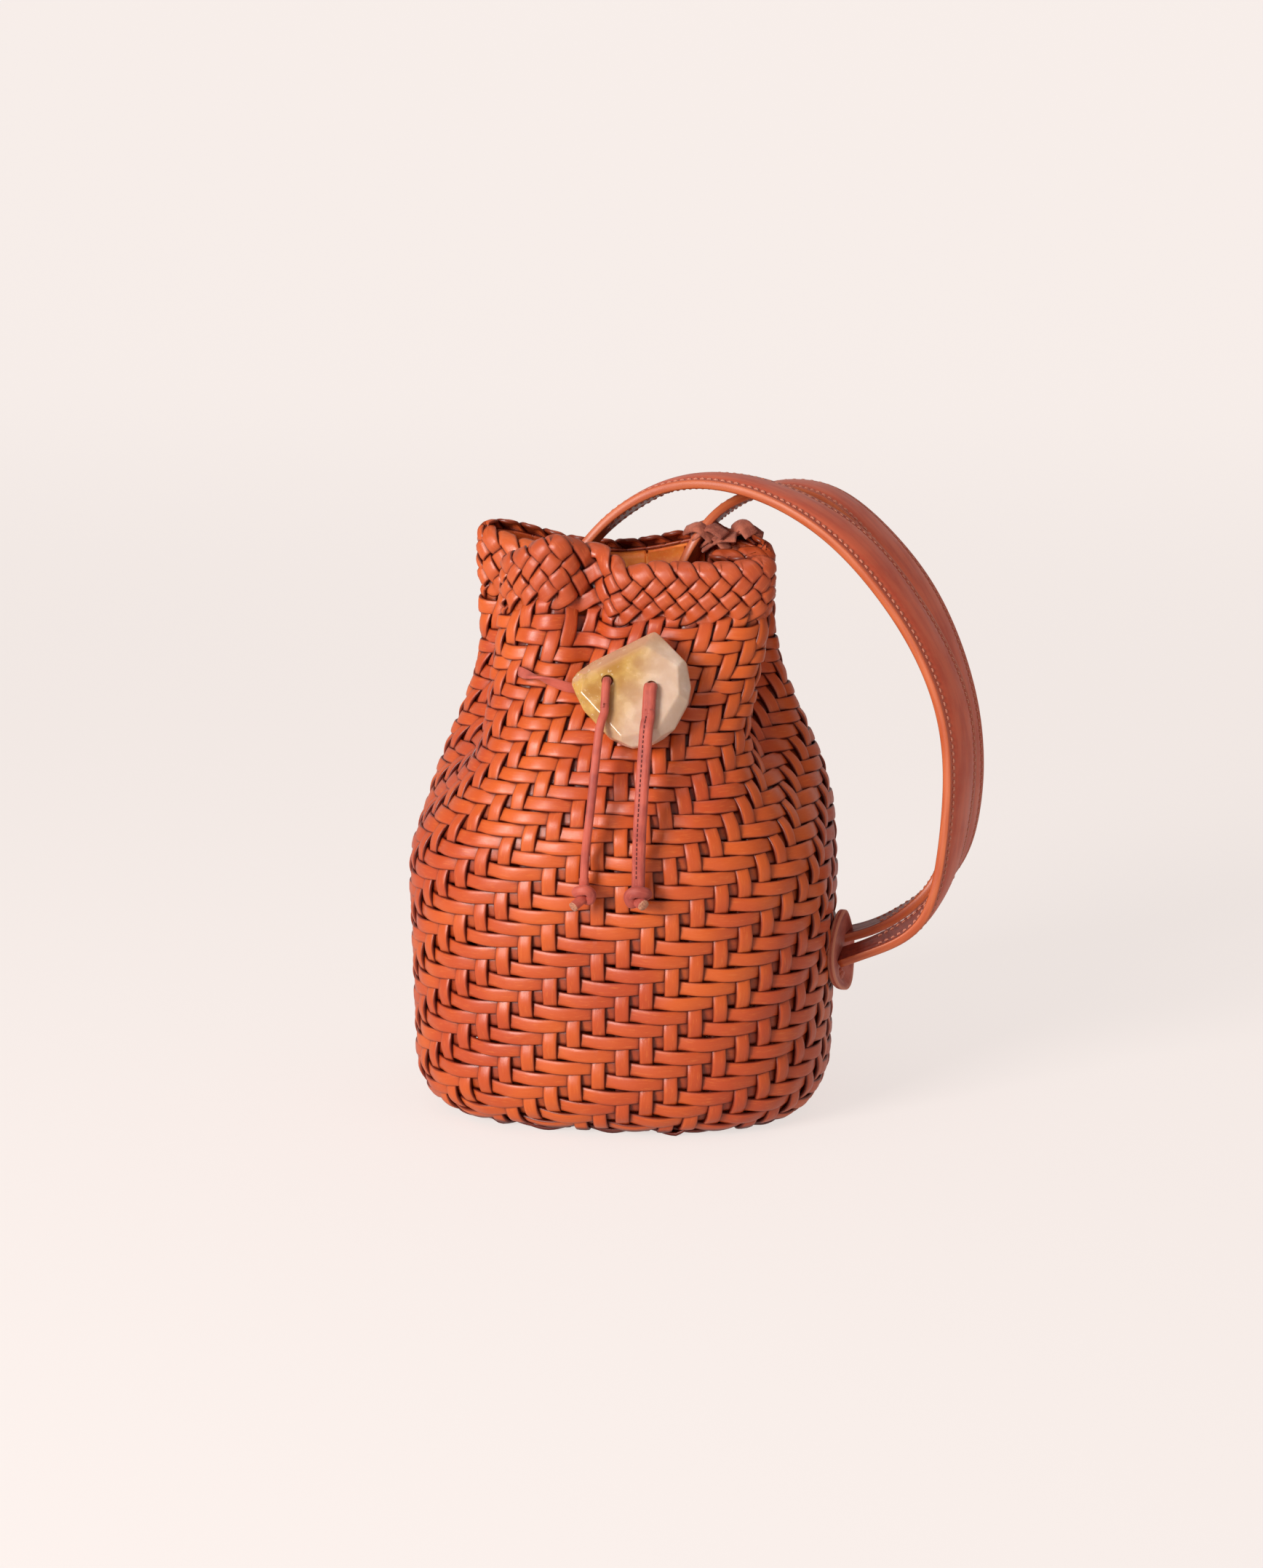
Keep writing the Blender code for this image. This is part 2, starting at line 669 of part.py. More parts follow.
def strap_stations(path, leans, start, stop_short):
    """(middle, direction to the near edge, outward normal, width, run) for stations along a strap."""
    dense, length = smooth_path(path, PATH_SAMPLES)
    lean_at = np.linspace(0.0, length, len(leans))
    leans = np.array(leans)
    tips = np.array(TIP_STATIONS)
    body = np.linspace(FIRST_BODY_RING, length - FIRST_BODY_RING, STRAP_RINGS)
    runs = np.concatenate([tips, body, length - tips[::-1]])
    runs = runs[(runs >= start - 1e-9) & (runs <= length - stop_short + 1e-9)]
    at = np.linspace(0.0, length, PATH_SAMPLES)

    def place_at(run):
        return np.array([np.interp(run, at, dense[:, axis]) for axis in range(3)])

    stations = []
    for run in runs:
        ahead = place_at(min(run + TANGENT_REACH, length))
        behind = place_at(max(run - TANGENT_REACH, 0.0))
        tangent = (ahead - behind) / np.linalg.norm(ahead - behind)
        lean = np.array([np.interp(run, lean_at, leans[:, axis]) for axis in range(3)])
        lean -= tangent * lean.dot(tangent)
        lean /= np.linalg.norm(lean)
        width = strap_width(run, length)
        past_round = max(min(run, length - run), TIP_WIDTH / 2)
        middle = place_at(run) - lean * strap_width(past_round, length) / 2
        stations.append((middle, lean, np.cross(lean, tangent), width, run))
    return stations


def loft(name, rings, colour, roughness):
    """A closed solid through rings of points, both ends filled."""
    mesh = grid_mesh(name, rings, True)
    shape = bmesh.new()
    shape.from_mesh(mesh)
    shape.verts.ensure_lookup_table()
    count = len(rings[0])
    last = (len(rings) - 1) * count
    shape.faces.new([shape.verts[i] for i in reversed(range(count))])
    shape.faces.new([shape.verts[last + i] for i in range(count)])
    bmesh.ops.recalc_face_normals(shape, faces=shape.faces)
    shape.to_mesh(mesh)
    shape.free()
    return add_part(name, mesh, colour, roughness)


def ring_from(station, outline):
    """A section's points: outline pairs are (share of the half width or offset from the middle, height)."""
    middle, lean, normal, _, _ = station
    return np.array([middle + lean * across + normal * up for across, up in outline])


def groove(edge, width):
    """Two edges of the stitch groove nearest one edge of the strap, narrowing with the tip."""
    inset = min(STITCH_INSET, 0.27 * width)
    half = min(GROOVE_HALF, 0.06 * width)
    middle = width / 2 - inset
    return edge * (middle + half), edge * (middle - half)


def outer_outline(width):
    half = width / 2
    rise = PADDING_RISE * min(width / STRAP_WIDTH, 1.0)
    low = LAYER_GAP
    top = low + LEATHER
    near_out, near_in = groove(1, width)
    far_out, far_in = groove(-1, width)
    depth = min(GROOVE_DEPTH, 0.06 * width)
    shoulder = top + rise * 0.35
    return (
        (-half, low),
        (-half * 0.55, low + rise),
        (0.0, low + rise),
        (half * 0.55, low + rise),
        (half, low),
        (half, top - 0.0004),
        (near_out, shoulder),
        (near_out, shoulder - depth),
        (near_in, shoulder - depth),
        (near_in, shoulder),
        (0.0, top + rise),
        (far_in, shoulder),
        (far_in, shoulder - depth),
        (far_out, shoulder - depth),
        (far_out, shoulder),
        (-half, top - 0.0004),
    )


def lining_outline(width):
    half = width / 2
    edge = min(0.0006, half * 0.3)
    return (
        (-half, -LAYER_GAP),
        (-half, -LAYER_GAP - LEATHER + edge),
        (-half + edge, -LAYER_GAP - LEATHER),
        (half - edge, -LAYER_GAP - LEATHER),
        (half, -LAYER_GAP - LEATHER + edge),
        (half, -LAYER_GAP),
        (half * 0.55, -LAYER_GAP),
        (0.0, -LAYER_GAP),
        (-half * 0.55, -LAYER_GAP),
    )


def padding_outline(width):
    half = width / 2 * 0.52
    low = LAYER_GAP * 1.6
    top = PADDING_RISE * min(width / STRAP_WIDTH, 1.0) - LAYER_GAP * 1.6
    return ((-half, low), (0.0, low), (half, low), (half, top), (0.0, top), (-half, top))


def thread_outline(edge, width):
    out, inner = groove(edge, width)
    middle = (out + inner) / 2
    depth = min(GROOVE_DEPTH, 0.06 * width)
    rise = PADDING_RISE * min(width / STRAP_WIDTH, 1.0)
    height = LAYER_GAP + LEATHER + rise * 0.35 - depth + 0.0003 + THREAD_RADIUS
    return (
        (middle - THREAD_RADIUS, height),
        (middle, height - THREAD_RADIUS),
        (middle + THREAD_RADIUS, height),
        (middle, height + THREAD_RADIUS),
    )


def make_strap(side, path, leans):
    """One strap: outer leather, lining, padding between them, two rows of thread in grooves."""
    whole = strap_stations(path, leans, 0.0, 0.0)
    inner = strap_stations(path, leans, PADDING_START, PADDING_START)
    sewn = strap_stations(path, leans, THREAD_START, THREAD_START)
    loft(side + "_strap_outer", [ring_from(s, outer_outline(s[3])) for s in whole], LEATHER_STRAP, 0.42)
    loft(side + "_strap_lining", [ring_from(s, lining_outline(s[3])) for s in whole], LEATHER_LINING, 0.55)
    loft(side + "_strap_padding", [ring_from(s, padding_outline(s[3])) for s in inner], FOAM, 0.9)
    loft(side + "_strap_thread_near", [ring_from(s, thread_outline(1, s[3])) for s in sewn], THREAD, 0.7)
    loft(side + "_strap_thread_far", [ring_from(s, thread_outline(-1, s[3])) for s in sewn], THREAD, 0.7)
    return whole


def end_outline():
    half = TIP_WIDTH / 2
    thick = LEATHER + LAYER_GAP
    return ((-half, -thick), (half, -thick), (half, thick), (-half, thick))


def make_upper_end(side, seat, tip):
    """The strap's end inside the bag, from its seat on the patch up to just short of the moving strap."""
    middle, lean, normal, _, _ = tip
    along = np.cross(lean, normal)
    away = along * math.copysign(1.0, along[2]) * -1.0
    top = middle + away * END_GAP
    path, _ = smooth_path([*seat, top], SEAT_RINGS)
    rings = []
    for index, place in enumerate(path):
        share = index / (len(path) - 1)
        ahead = path[min(index + 1, len(path) - 1)]
        behind = path[max(index - 1, 0)]
        tangent = (ahead - behind) / np.linalg.norm(ahead - behind)
        width_way = np.array(SEAT_LEAN) * (1.0 - share) + lean * share
        width_way -= tangent * width_way.dot(tangent)
        width_way /= np.linalg.norm(width_way)
        station = (place, width_way, np.cross(width_way, tangent), TIP_WIDTH, 0.0)
        rings.append(ring_from(station, end_outline()))
    loft(side + "_strap_upper_end", rings, LEATHER_LINING, 0.55)


def tab_frame():
    """Local X runs across the tab, local Y into the bag, local Z up."""
    return Matrix.Translation(TAB_CENTRE) @ Matrix.Rotation(math.radians(90.0 + TAB_TURN_DEG), 4, "Z")


def thong_place():
    """The thong's hole through the tab, local Z pointing out of the bag."""
    at = Matrix.Translation((THONG_AT[0], 0.0, THONG_AT[1]))
    return tab_frame() @ at @ Matrix.Rotation(math.pi / 2, 4, "X")


def leaf_outline():
    """A leaf: round below, drawn up to a blunt point above."""
    points = []
    for turn in np.linspace(0.0, 2.0 * math.pi, 24, endpoint=False):
        up = math.cos(turn)
        narrow = 1.0 - 0.28 * max(up, 0.0) ** 1.5
        points.append((TAB_HALF_WIDTH * math.sin(turn) * narrow, TAB_HALF_HEIGHT * up))
    return points


def make_lower_end(side, tip, tab):
    """The strap's low end, held in a slot through the tab."""
    middle, lean, normal, _, _ = tip
    out = -(tab_frame().to_3x3() @ Vector((0.0, 1.0, 0.0)))
    tab_front = Vector(TAB_CENTRE) + out * (TAB_THICKNESS / 2)
    reach = (Vector(middle) - tab_front).dot(out)
    start = Vector(middle) - out * (reach - STUB_PROUD)
    stop = start - out * (TAB_THICKNESS + STUB_PROUD + STUB_BACK)
    width_way = Vector(lean) - out * Vector(lean).dot(out)
    width_way.normalize()
    up = width_way.cross(out)
    rings = [
        ring_from((np.array(place), np.array(width_way), np.array(up), TIP_WIDTH, 0.0), end_outline())
        for place in (start, stop)
    ]
    loft(side + "_strap_lower_end", rings, LEATHER_LINING, 0.55)
    basis = Matrix((up, width_way, out)).transposed().to_4x4()
    shape = bmesh.new()
    bmesh.ops.create_cube(shape, size=1.0)
    mesh = bpy.data.meshes.new(side + "_slot")
    shape.to_mesh(mesh)
    shape.free()
    size = (2 * (LEATHER + LAYER_GAP + SLOT_CLEARANCE), TIP_WIDTH + 2 * SLOT_CLEARANCE, SLOT_LENGTH, 1.0)
    mesh.transform(Matrix.Translation((start + stop) / 2) @ basis @ Matrix.Diagonal(size))
    cut(tab, add_cutter(side + "_slot", mesh))


def make_tab():
    mesh = plate_mesh("lower_tab", leaf_outline(), TAB_THICKNESS)
    mesh.transform(Matrix.Rotation(math.radians(90.0 + TAB_TURN_DEG), 4, "Z"))
    tab = add_part("lower_tab", mesh, LEATHER_TAB, 0.6)
    tab.location = TAB_CENTRE
    round_edges(tab, TAB_BEVEL, 2)
    hole = cylinder_mesh("thong_hole", THONG_HOLE_RADIUS, SLOT_LENGTH, 14, thong_place())
    cut(tab, add_cutter("thong_hole", hole))
    return tab


def make_thong():
    """The knot of the thong that ties the tab to the weave: a shank through the tab under a domed head."""
    back = -TAB_THICKNESS / 2 - 0.0002
    face = TAB_THICKNESS / 2 + 0.0003
    profile = (
        (0.0, back),
        (THONG_RADIUS, back),
        (THONG_RADIUS, face),
        (THONG_HEAD_RADIUS, face),
        (THONG_HEAD_RADIUS * 0.85, face + 0.0011),
        (THONG_HEAD_RADIUS * 0.4, face + 0.0019),
        (0.0, face + 0.0021),
    )
    mesh = bpy.data.meshes.new("tab_thong")
    edges = [(i, i + 1) for i in range(len(profile) - 1)]
    mesh.from_pydata([(r, 0.0, h) for r, h in profile], edges, [])
    thong = add_part("tab_thong", mesh, LEATHER_CORD, 0.6)
    turn = thong.modifiers.new("turn", "SCREW")
    turn.axis = "Z"
    turn.steps = 12
    turn.render_steps = 12
    turn.use_merge_vertices = True
    turn.merge_threshold = 0.00005
    turn.use_normal_calculate = True
    turn.use_normal_flip = True
    thong.matrix_world = thong_place()


def build():
    make_body()
    neck_front = make_neck()
    make_stone()
    make_drawcord(neck_front)
    make_tail("left", LEFT_HOLE, LEFT_TAIL_RADIUS, LEFT_KNOT, LEFT_KNOT_END)
    make_tail("right", RIGHT_HOLE, RIGHT_TAIL_RADIUS, RIGHT_KNOT, RIGHT_KNOT_END)
    tab = make_tab()
    make_thong()
    for side, path, leans, seat in (
        ("near", NEAR_PATH, NEAR_LEANS, NEAR_SEAT),
        ("far", FAR_PATH, FAR_LEANS, FAR_SEAT),
    ):
        stations = make_strap(side, path, leans)
        make_upper_end(side, seat, stations[0])
        make_lower_end(side, stations[-1], tab)


clear_scene()
PARTS, CUTTERS = make_collections()
build()
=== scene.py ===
"""The looks of the hand-woven bucket bag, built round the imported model.

Metres, +Z up, front towards -Y. A place on the bag's wall is (u, v): u goes once round the bag (0 front, 0.25 right,
0.5 back) and v is the length up the wall from the edge of the flat base.
"""

import json
import math

import bmesh
import bpy
import numpy as np
from mathutils import Matrix, Vector


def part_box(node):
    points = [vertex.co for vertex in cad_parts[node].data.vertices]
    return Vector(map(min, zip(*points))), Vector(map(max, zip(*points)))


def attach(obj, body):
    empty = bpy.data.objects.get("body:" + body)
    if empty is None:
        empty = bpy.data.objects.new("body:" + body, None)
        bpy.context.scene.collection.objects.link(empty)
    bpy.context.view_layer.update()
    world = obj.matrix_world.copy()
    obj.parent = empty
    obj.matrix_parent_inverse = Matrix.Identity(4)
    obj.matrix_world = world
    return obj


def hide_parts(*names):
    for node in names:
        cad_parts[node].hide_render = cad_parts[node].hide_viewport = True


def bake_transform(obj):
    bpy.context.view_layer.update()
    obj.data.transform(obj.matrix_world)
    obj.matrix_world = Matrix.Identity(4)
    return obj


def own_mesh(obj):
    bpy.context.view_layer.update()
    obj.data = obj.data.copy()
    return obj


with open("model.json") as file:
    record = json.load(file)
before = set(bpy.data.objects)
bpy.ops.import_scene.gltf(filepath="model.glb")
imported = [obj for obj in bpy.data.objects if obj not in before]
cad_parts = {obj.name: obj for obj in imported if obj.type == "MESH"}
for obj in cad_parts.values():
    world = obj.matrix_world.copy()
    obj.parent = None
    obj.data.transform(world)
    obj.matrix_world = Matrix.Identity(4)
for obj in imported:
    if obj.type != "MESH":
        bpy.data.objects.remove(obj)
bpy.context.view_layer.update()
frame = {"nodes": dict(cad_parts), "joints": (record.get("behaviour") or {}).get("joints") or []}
JOINTS = {joint["name"]: joint for joint in frame["joints"]}
RANDOM = np.random.default_rng(7)

# --- the wall, worked out from the frame ---

HALF_WIDTH, HALF_DEPTH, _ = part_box("woven_body")[1]
BASE_TAPER = 0.0025
BASE_TAPER_Z = 0.100
BASE_EDGE_INSET = 0.020
BASE_EDGE_HEIGHT = 0.026
SECTION_POWERS = (2.6, 3.0)
SQUARER_Z = (0.130, 0.215)
BACK_NECK_HALF_WIDTH = 0.0730
FRONT_NECK_HALF_WIDTH = 0.0655
NECK_HALF_DEPTH = 0.0340
SIDE_BLEND = (-0.7, 0.6)
BACK_TAPER_Z = (0.132, 0.212)
FRONT_TAPER_Z = (0.110, 0.178)
DEPTH_TAPER_Z = (0.122, 0.235)
PLEAT_DEPTH = 0.031
PLEAT_Z = (0.125, 0.235)
PLEAT_FORWARD = 0.25
PLEAT_SPREAD = 0.30
FRONT_LEAN = 0.0145
BACK_LEAN = -0.0080
LEAN_Z = (0.160, 0.250)
# The fold in the front left of the neck: where its valley and its swelling are, their widths and depths
PINCH = (-0.0105, 0.0080, 0.0082)
SWELL = (-0.0330, 0.0170, 0.0040)
RIM_Z = 0.2500
BAND_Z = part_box("rim_back")[0].z
LOBE_START_Z = 0.200
# Lobes of the rim: place round the bag, rise, spread
LOBES = (
    (-0.105, 0.0110, 0.055), (-0.370, 0.0100, 0.070), (0.390, 0.0085, 0.070), (0.155, 0.0025, 0.040),
    (-0.022, -0.0035, 0.018),
)

# --- the weave ---

STRIP_THICKNESS = 0.0015
CROWN = 0.00018
WAVE = 0.000986
RELIEF = math.sqrt(2) * WAVE
WALL_INSET = RELIEF + STRIP_THICKNESS / 2 + CROWN
WARPS = 52
WARP_WIDTH = 0.0063
WEFT_PITCH = 0.0062
WEFT_WIDTH = 0.0062
FIRST_WEFT = 0.00345
WEFT_STEPS = 320
WARP_STEP = 0.0015
WEAVE_PHASE = 1
# The twill repeats over four strips: two over, two under
REPEAT = 4.0
SAG = 0.00045
SUNK_WIDER = 0.11
WARP_SUNK_WIDER = 0.10
SUNK = (0.1, -0.6)
WARP_GAP = 0.0009
WARP_END = 0.0042
# How deep the warps are tucked under the base's edge and behind the braid, and how much wider they are there
TUCK = 0.0017
TUCK_WIDER = 0.55
# Where, up the wall, the weave gets looser
LOOSE_V = (0.165, 0.215)

RIM_ROLL = 0.0038
RIM_ROLL_TURN = math.radians(105.0)
ROLL_ROWS = 8
EDGE_ROWS = 19


def smoothstep(span, value):
    share = np.clip((np.asarray(value, float) - span[0]) / (span[1] - span[0]), 0.0, 1.0)
    return share * share * (3.0 - 2.0 * share)


def between(start, end, span, value):
    return start + (end - start) * smoothstep(span, value)


def bump(value, centre, spread):
    return np.exp(-(((value - centre) / spread) ** 2))


def signed_power(value, power):
    return np.sign(value) * np.abs(value) ** power


def lobe_rise(u):
    rise = 0.0
    for centre, height, spread in LOBES:
        rise = rise + height * bump((u - centre + 0.5) % 1.0 - 0.5, 0.0, spread)
    return rise


RING_SAMPLES = 1440


def section(height):
    """The closed outline at a height, from the back centre round by the left."""
    angle = np.linspace(-math.pi, math.pi, RING_SAMPLES + 1)
    power = between(*SECTION_POWERS, SQUARER_Z, height)
    across = signed_power(np.sin(angle), 2.0 / power)
    along = -signed_power(np.cos(angle), 2.0 / power)
    taper = BASE_TAPER * (1.0 - min(height / BASE_TAPER_Z, 1.0))
    back = between(HALF_WIDTH, BACK_NECK_HALF_WIDTH, BACK_TAPER_Z, height) - taper
    front = between(HALF_WIDTH, FRONT_NECK_HALF_WIDTH, FRONT_TAPER_Z, height) - taper
    depth = between(HALF_DEPTH, NECK_HALF_DEPTH, DEPTH_TAPER_Z, height) - taper
    half_width = front + (back - front) * smoothstep(SIDE_BLEND, along)
    valley = between(-PLEAT_FORWARD, 0.0, PLEAT_Z, height)
    pleat = between(0.0, PLEAT_DEPTH, PLEAT_Z, height) * bump(along, valley, PLEAT_SPREAD)
    lean = between(0.0, 1.0, LEAN_Z, height)
    shift = lean * (FRONT_LEAN + (BACK_LEAN - FRONT_LEAN) * (along + 1.0) / 2.0)
    side = across * half_width
    x = side - np.sign(across) * np.minimum(pleat, np.abs(side)) + shift
    fold = PINCH[2] * bump(x, PINCH[0], PINCH[1]) - SWELL[2] * bump(x, SWELL[0], SWELL[1])
    return x, depth * along + lean * fold * (along < 0.0)


def wall_ring(us, height):
    x, y = section(height)
    length = np.concatenate([[0.0], np.cumsum(np.hypot(np.diff(x), np.diff(y)))])
    anchors = length[:: RING_SAMPLES // 4]
    target = np.interp((us + 0.5) % 1.0, np.linspace(0.0, 1.0, 5), anchors)
    return np.stack([np.interp(target, length, x), np.interp(target, length, y)], axis=1)


def ring_normals(us, height):
    small = 1e-3
    tangent = wall_ring(us + small, height) - wall_ring(us - small, height)
    tangent /= np.linalg.norm(tangent, axis=1)[:, None]
    return np.stack([tangent[:, 1], -tangent[:, 0]], axis=1)


TABLE_COLUMNS = 720
ROW_STEP = 0.002
ROLL_Z = RIM_Z - RIM_ROLL
WALL_HEIGHTS = np.linspace(BASE_EDGE_HEIGHT, ROLL_Z, int((ROLL_Z - BASE_EDGE_HEIGHT) / ROW_STEP) + 1)


def make_wall_table():
    """Rows of points of the weave's middle surface from the flat base up the wall and over the rim."""
    us = np.arange(TABLE_COLUMNS) / TABLE_COLUMNS
    rows = []

    def add(ring, z):
        rows.append(np.column_stack([ring, np.broadcast_to(z, len(us))]))

    low = wall_ring(us, BASE_EDGE_HEIGHT)
    low_normals = ring_normals(us, BASE_EDGE_HEIGHT)
    half = np.array([HALF_WIDTH, HALF_DEPTH])
    for turn in np.linspace(0.0, math.pi / 2, EDGE_ROWS + 1)[:-1]:
        shrink = 1.0 - BASE_EDGE_INSET * (1.0 - math.sin(turn)) / half
        ring = low * shrink - WALL_INSET * math.sin(turn) * low_normals
        add(ring, BASE_EDGE_HEIGHT * (1.0 - math.cos(turn)) + WALL_INSET * math.cos(turn))
    for height in WALL_HEIGHTS:
        ring = wall_ring(us, height) - WALL_INSET * ring_normals(us, height)
        add(ring, height + lobe_rise(us) * smoothstep((LOBE_START_Z, RIM_Z), height))
    ring = wall_ring(us, ROLL_Z)
    normals = ring_normals(us, ROLL_Z)
    lift = lobe_rise(us) * smoothstep((LOBE_START_Z, RIM_Z), ROLL_Z)
    for turn in np.linspace(0.0, RIM_ROLL_TURN, ROLL_ROWS + 1)[1:]:
        inset = WALL_INSET + RIM_ROLL * (1.0 - math.cos(turn))
        add(ring - inset * normals, ROLL_Z + lift + RIM_ROLL * math.sin(turn))
    rows = np.array(rows)
    step = np.linalg.norm(np.diff(rows, axis=0), axis=2).mean(axis=1)
    return rows, np.concatenate([[0.0], np.cumsum(step)])


WALL, WALL_V = make_wall_table()


def make_normal_table():
    along_u = np.roll(WALL, -1, axis=1) - np.roll(WALL, 1, axis=1)
    along_v = np.gradient(WALL, axis=0)
    normal = np.cross(along_u, along_v)
    return normal / np.linalg.norm(normal, axis=2)[:, :, None], along_u * TABLE_COLUMNS / 2


WALL_NORMAL, WALL_ALONG_U = make_normal_table()


def look_up(table, u, v):
    row = np.clip(np.interp(v, WALL_V, np.arange(len(WALL_V))), 0.0, len(WALL_V) - 1.0001)
    column = (np.asarray(u) % 1.0) * TABLE_COLUMNS
    r0 = row.astype(int)
    c0 = column.astype(int) % TABLE_COLUMNS
    c1 = (c0 + 1) % TABLE_COLUMNS
    fr = (row - r0)[..., None]
    fc = (column - np.floor(column))[..., None]
    low = table[r0, c0] * (1 - fc) + table[r0, c1] * fc
    high = table[r0 + 1, c0] * (1 - fc) + table[r0 + 1, c1] * fc
    return low * (1 - fr) + high * fr


def on_wall(u, v, out=0.0):
    """Points out from the middle surface of the weave."""
    u, v = np.broadcast_arrays(np.asarray(u, float), np.asarray(v, float))
    normal = look_up(WALL_NORMAL, u, v)
    normal = normal / np.linalg.norm(normal, axis=-1)[..., None]
    return look_up(WALL, u, v) + np.asarray(out)[..., None] * normal


def v_at(height):
    """The wall length v at a nominal height."""
    return float(np.interp(height, WALL_HEIGHTS, WALL_V[EDGE_ROWS : EDGE_ROWS + len(WALL_HEIGHTS)]))


BAND_V = v_at(BAND_Z)
TOP_V = float(WALL_V[-1])
WEFTS = int((BAND_V - FIRST_WEFT) / WEFT_PITCH) + 1

# --- strips as meshes ---


def strip_profile(width, thickness, crown=CROWN):
    """A leather strip's cross-section: (across, out) pairs, six on top and six below."""
    half = width / 2
    high = thickness / 2
    edge = min(0.00035, high * 0.6)
    top = [(-half, high - edge), (-half + edge, high), (-half * 0.45, high + crown)]
    top += [(-a, h) for a, h in reversed(top)]
    below = [(half, -high + edge * 0.6), (half - edge * 0.6, -high), (half * 0.45, -high)]
    below += [(-a, h) for a, h in reversed(below)]
    return np.array(top + below)


class Strips:
    """Many strips gathered into one mesh, with what the leather material needs to know at each point."""

    def __init__(self):
        self.points, self.quads = [], []
        self.values = {"tone": [], "across": [], "lift": [], "along": []}
        self.count = 0

    def add(self, rings, across, lift, along, tone, closed):
        steps, size = rings.shape[:2]
        index = np.arange(steps * size).reshape(steps, size) + self.count
        ahead = np.roll(index, -1, axis=0) if closed else index[1:]
        here = index if closed else index[:-1]
        quads = np.stack([here, np.roll(here, -1, axis=1), np.roll(ahead, -1, axis=1), ahead], axis=-1)
        quads = quads.reshape(-1, 4)
        if not closed:
            for ring, flip in ((index[0], True), (index[-1], False)):
                for k in range(size // 2 - 1):
                    corner = [ring[k], ring[k + 1], ring[size - 2 - k], ring[size - 1 - k]]
                    quads = np.vstack([quads, corner[::-1] if flip else corner])
        flat = rings.reshape(-1, 3)
        local = quads - self.count
        corners = flat[local] - flat.mean(axis=0)
        volume = np.einsum("ij,ij->i", np.cross(corners[:, 0], corners[:, 1]), corners[:, 2]).sum()
        volume += np.einsum("ij,ij->i", np.cross(corners[:, 0], corners[:, 2]), corners[:, 3]).sum()
        if volume < 0:
            quads = quads[:, ::-1]
        self.points.append(flat)
        self.quads.append(quads)
        self.values["tone"].append(np.full(steps * size, tone))
        self.values["across"].append(np.tile(across, steps))
        self.values["lift"].append(np.repeat(lift, size))
        self.values["along"].append(np.repeat(along, size))
        self.count += steps * size

    def build(self, name, material):
        values = {key: np.concatenate(parts) for key, parts in self.values.items()}
        return make_piece(name, np.concatenate(self.points), np.concatenate(self.quads), material, values)


def add_object(name, data):
    obj = bpy.data.objects.new(name, data)
    bpy.context.scene.collection.objects.link(obj)
    return obj


def make_piece(name, points, quads, material, values=None):
    mesh = bpy.data.meshes.new(name)
    mesh.vertices.add(len(points))
    mesh.vertices.foreach_set("co", np.asarray(points, np.float32).ravel())
    mesh.loops.add(quads.size)
    mesh.loops.foreach_set("vertex_index", np.asarray(quads, np.int32).ravel())
    mesh.polygons.add(len(quads))
    mesh.polygons.foreach_set("loop_start", np.arange(0, quads.size, quads.shape[1], dtype=np.int32))
    mesh.update(calc_edges=True)
    mesh.polygons.foreach_set("use_smooth", [True] * len(mesh.polygons))
    for key, value in (values or {}).items():
        attribute = mesh.attributes.new(key, "FLOAT", "POINT")
        attribute.data.foreach_set("value", np.asarray(value, np.float32))
    mesh.materials.append(material)
    return add_object(name, mesh)


def settle(piece, body, slot, *nodes):
    """What a finished piece moves with (None leaves it unattached) and the parts of the model it stands in for; the
    slot it wears is not used.
    """
    if body:
        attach(piece, body)
    if nodes:
        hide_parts(*nodes)


def wobble(place, sizes):
    """Smooth unevenness that closes on itself over a turn of place, from a few random waves."""
    total = np.zeros_like(place)
    for waves, size in sizes:
        total = total + size * np.sin(2 * math.pi * (waves * place + RANDOM.random()))
    return total


def add_ribbon(strips, u, v, lift, wave, width, closed=False, thickness=STRIP_THICKNESS):
    """A strip lying on the wall along (u, v), lifted out by lift; wave tells the leather where it is on top."""
    stretch = np.linalg.norm(look_up(WALL_ALONG_U, u, v), axis=-1)
    if closed:
        ahead_u = (np.roll(u, -1) - np.roll(u, 1) + 0.5) % 1.0 - 0.5
        ahead_v = np.roll(v, -1) - np.roll(v, 1)
    else:
        ahead_u = np.gradient(u)
        ahead_v = np.gradient(v)
    ahead_u = ahead_u * stretch
    length = np.hypot(ahead_u, ahead_v)
    profile = strip_profile(float(np.mean(width)), thickness)
    across = profile[None, :, 0] * (width / np.mean(width))[:, None]
    rings = on_wall(
        u[:, None] - across * (ahead_v / length / stretch)[:, None],
        v[:, None] + across * (ahead_u / length)[:, None],
        lift[:, None] + profile[None, :, 1],
    )
    run = run_along(rings[:, 2])
    share = profile[:, 0] / profile[:, 0].max()
    strips.add(rings, share, wave, run, RANDOM.random(), closed)


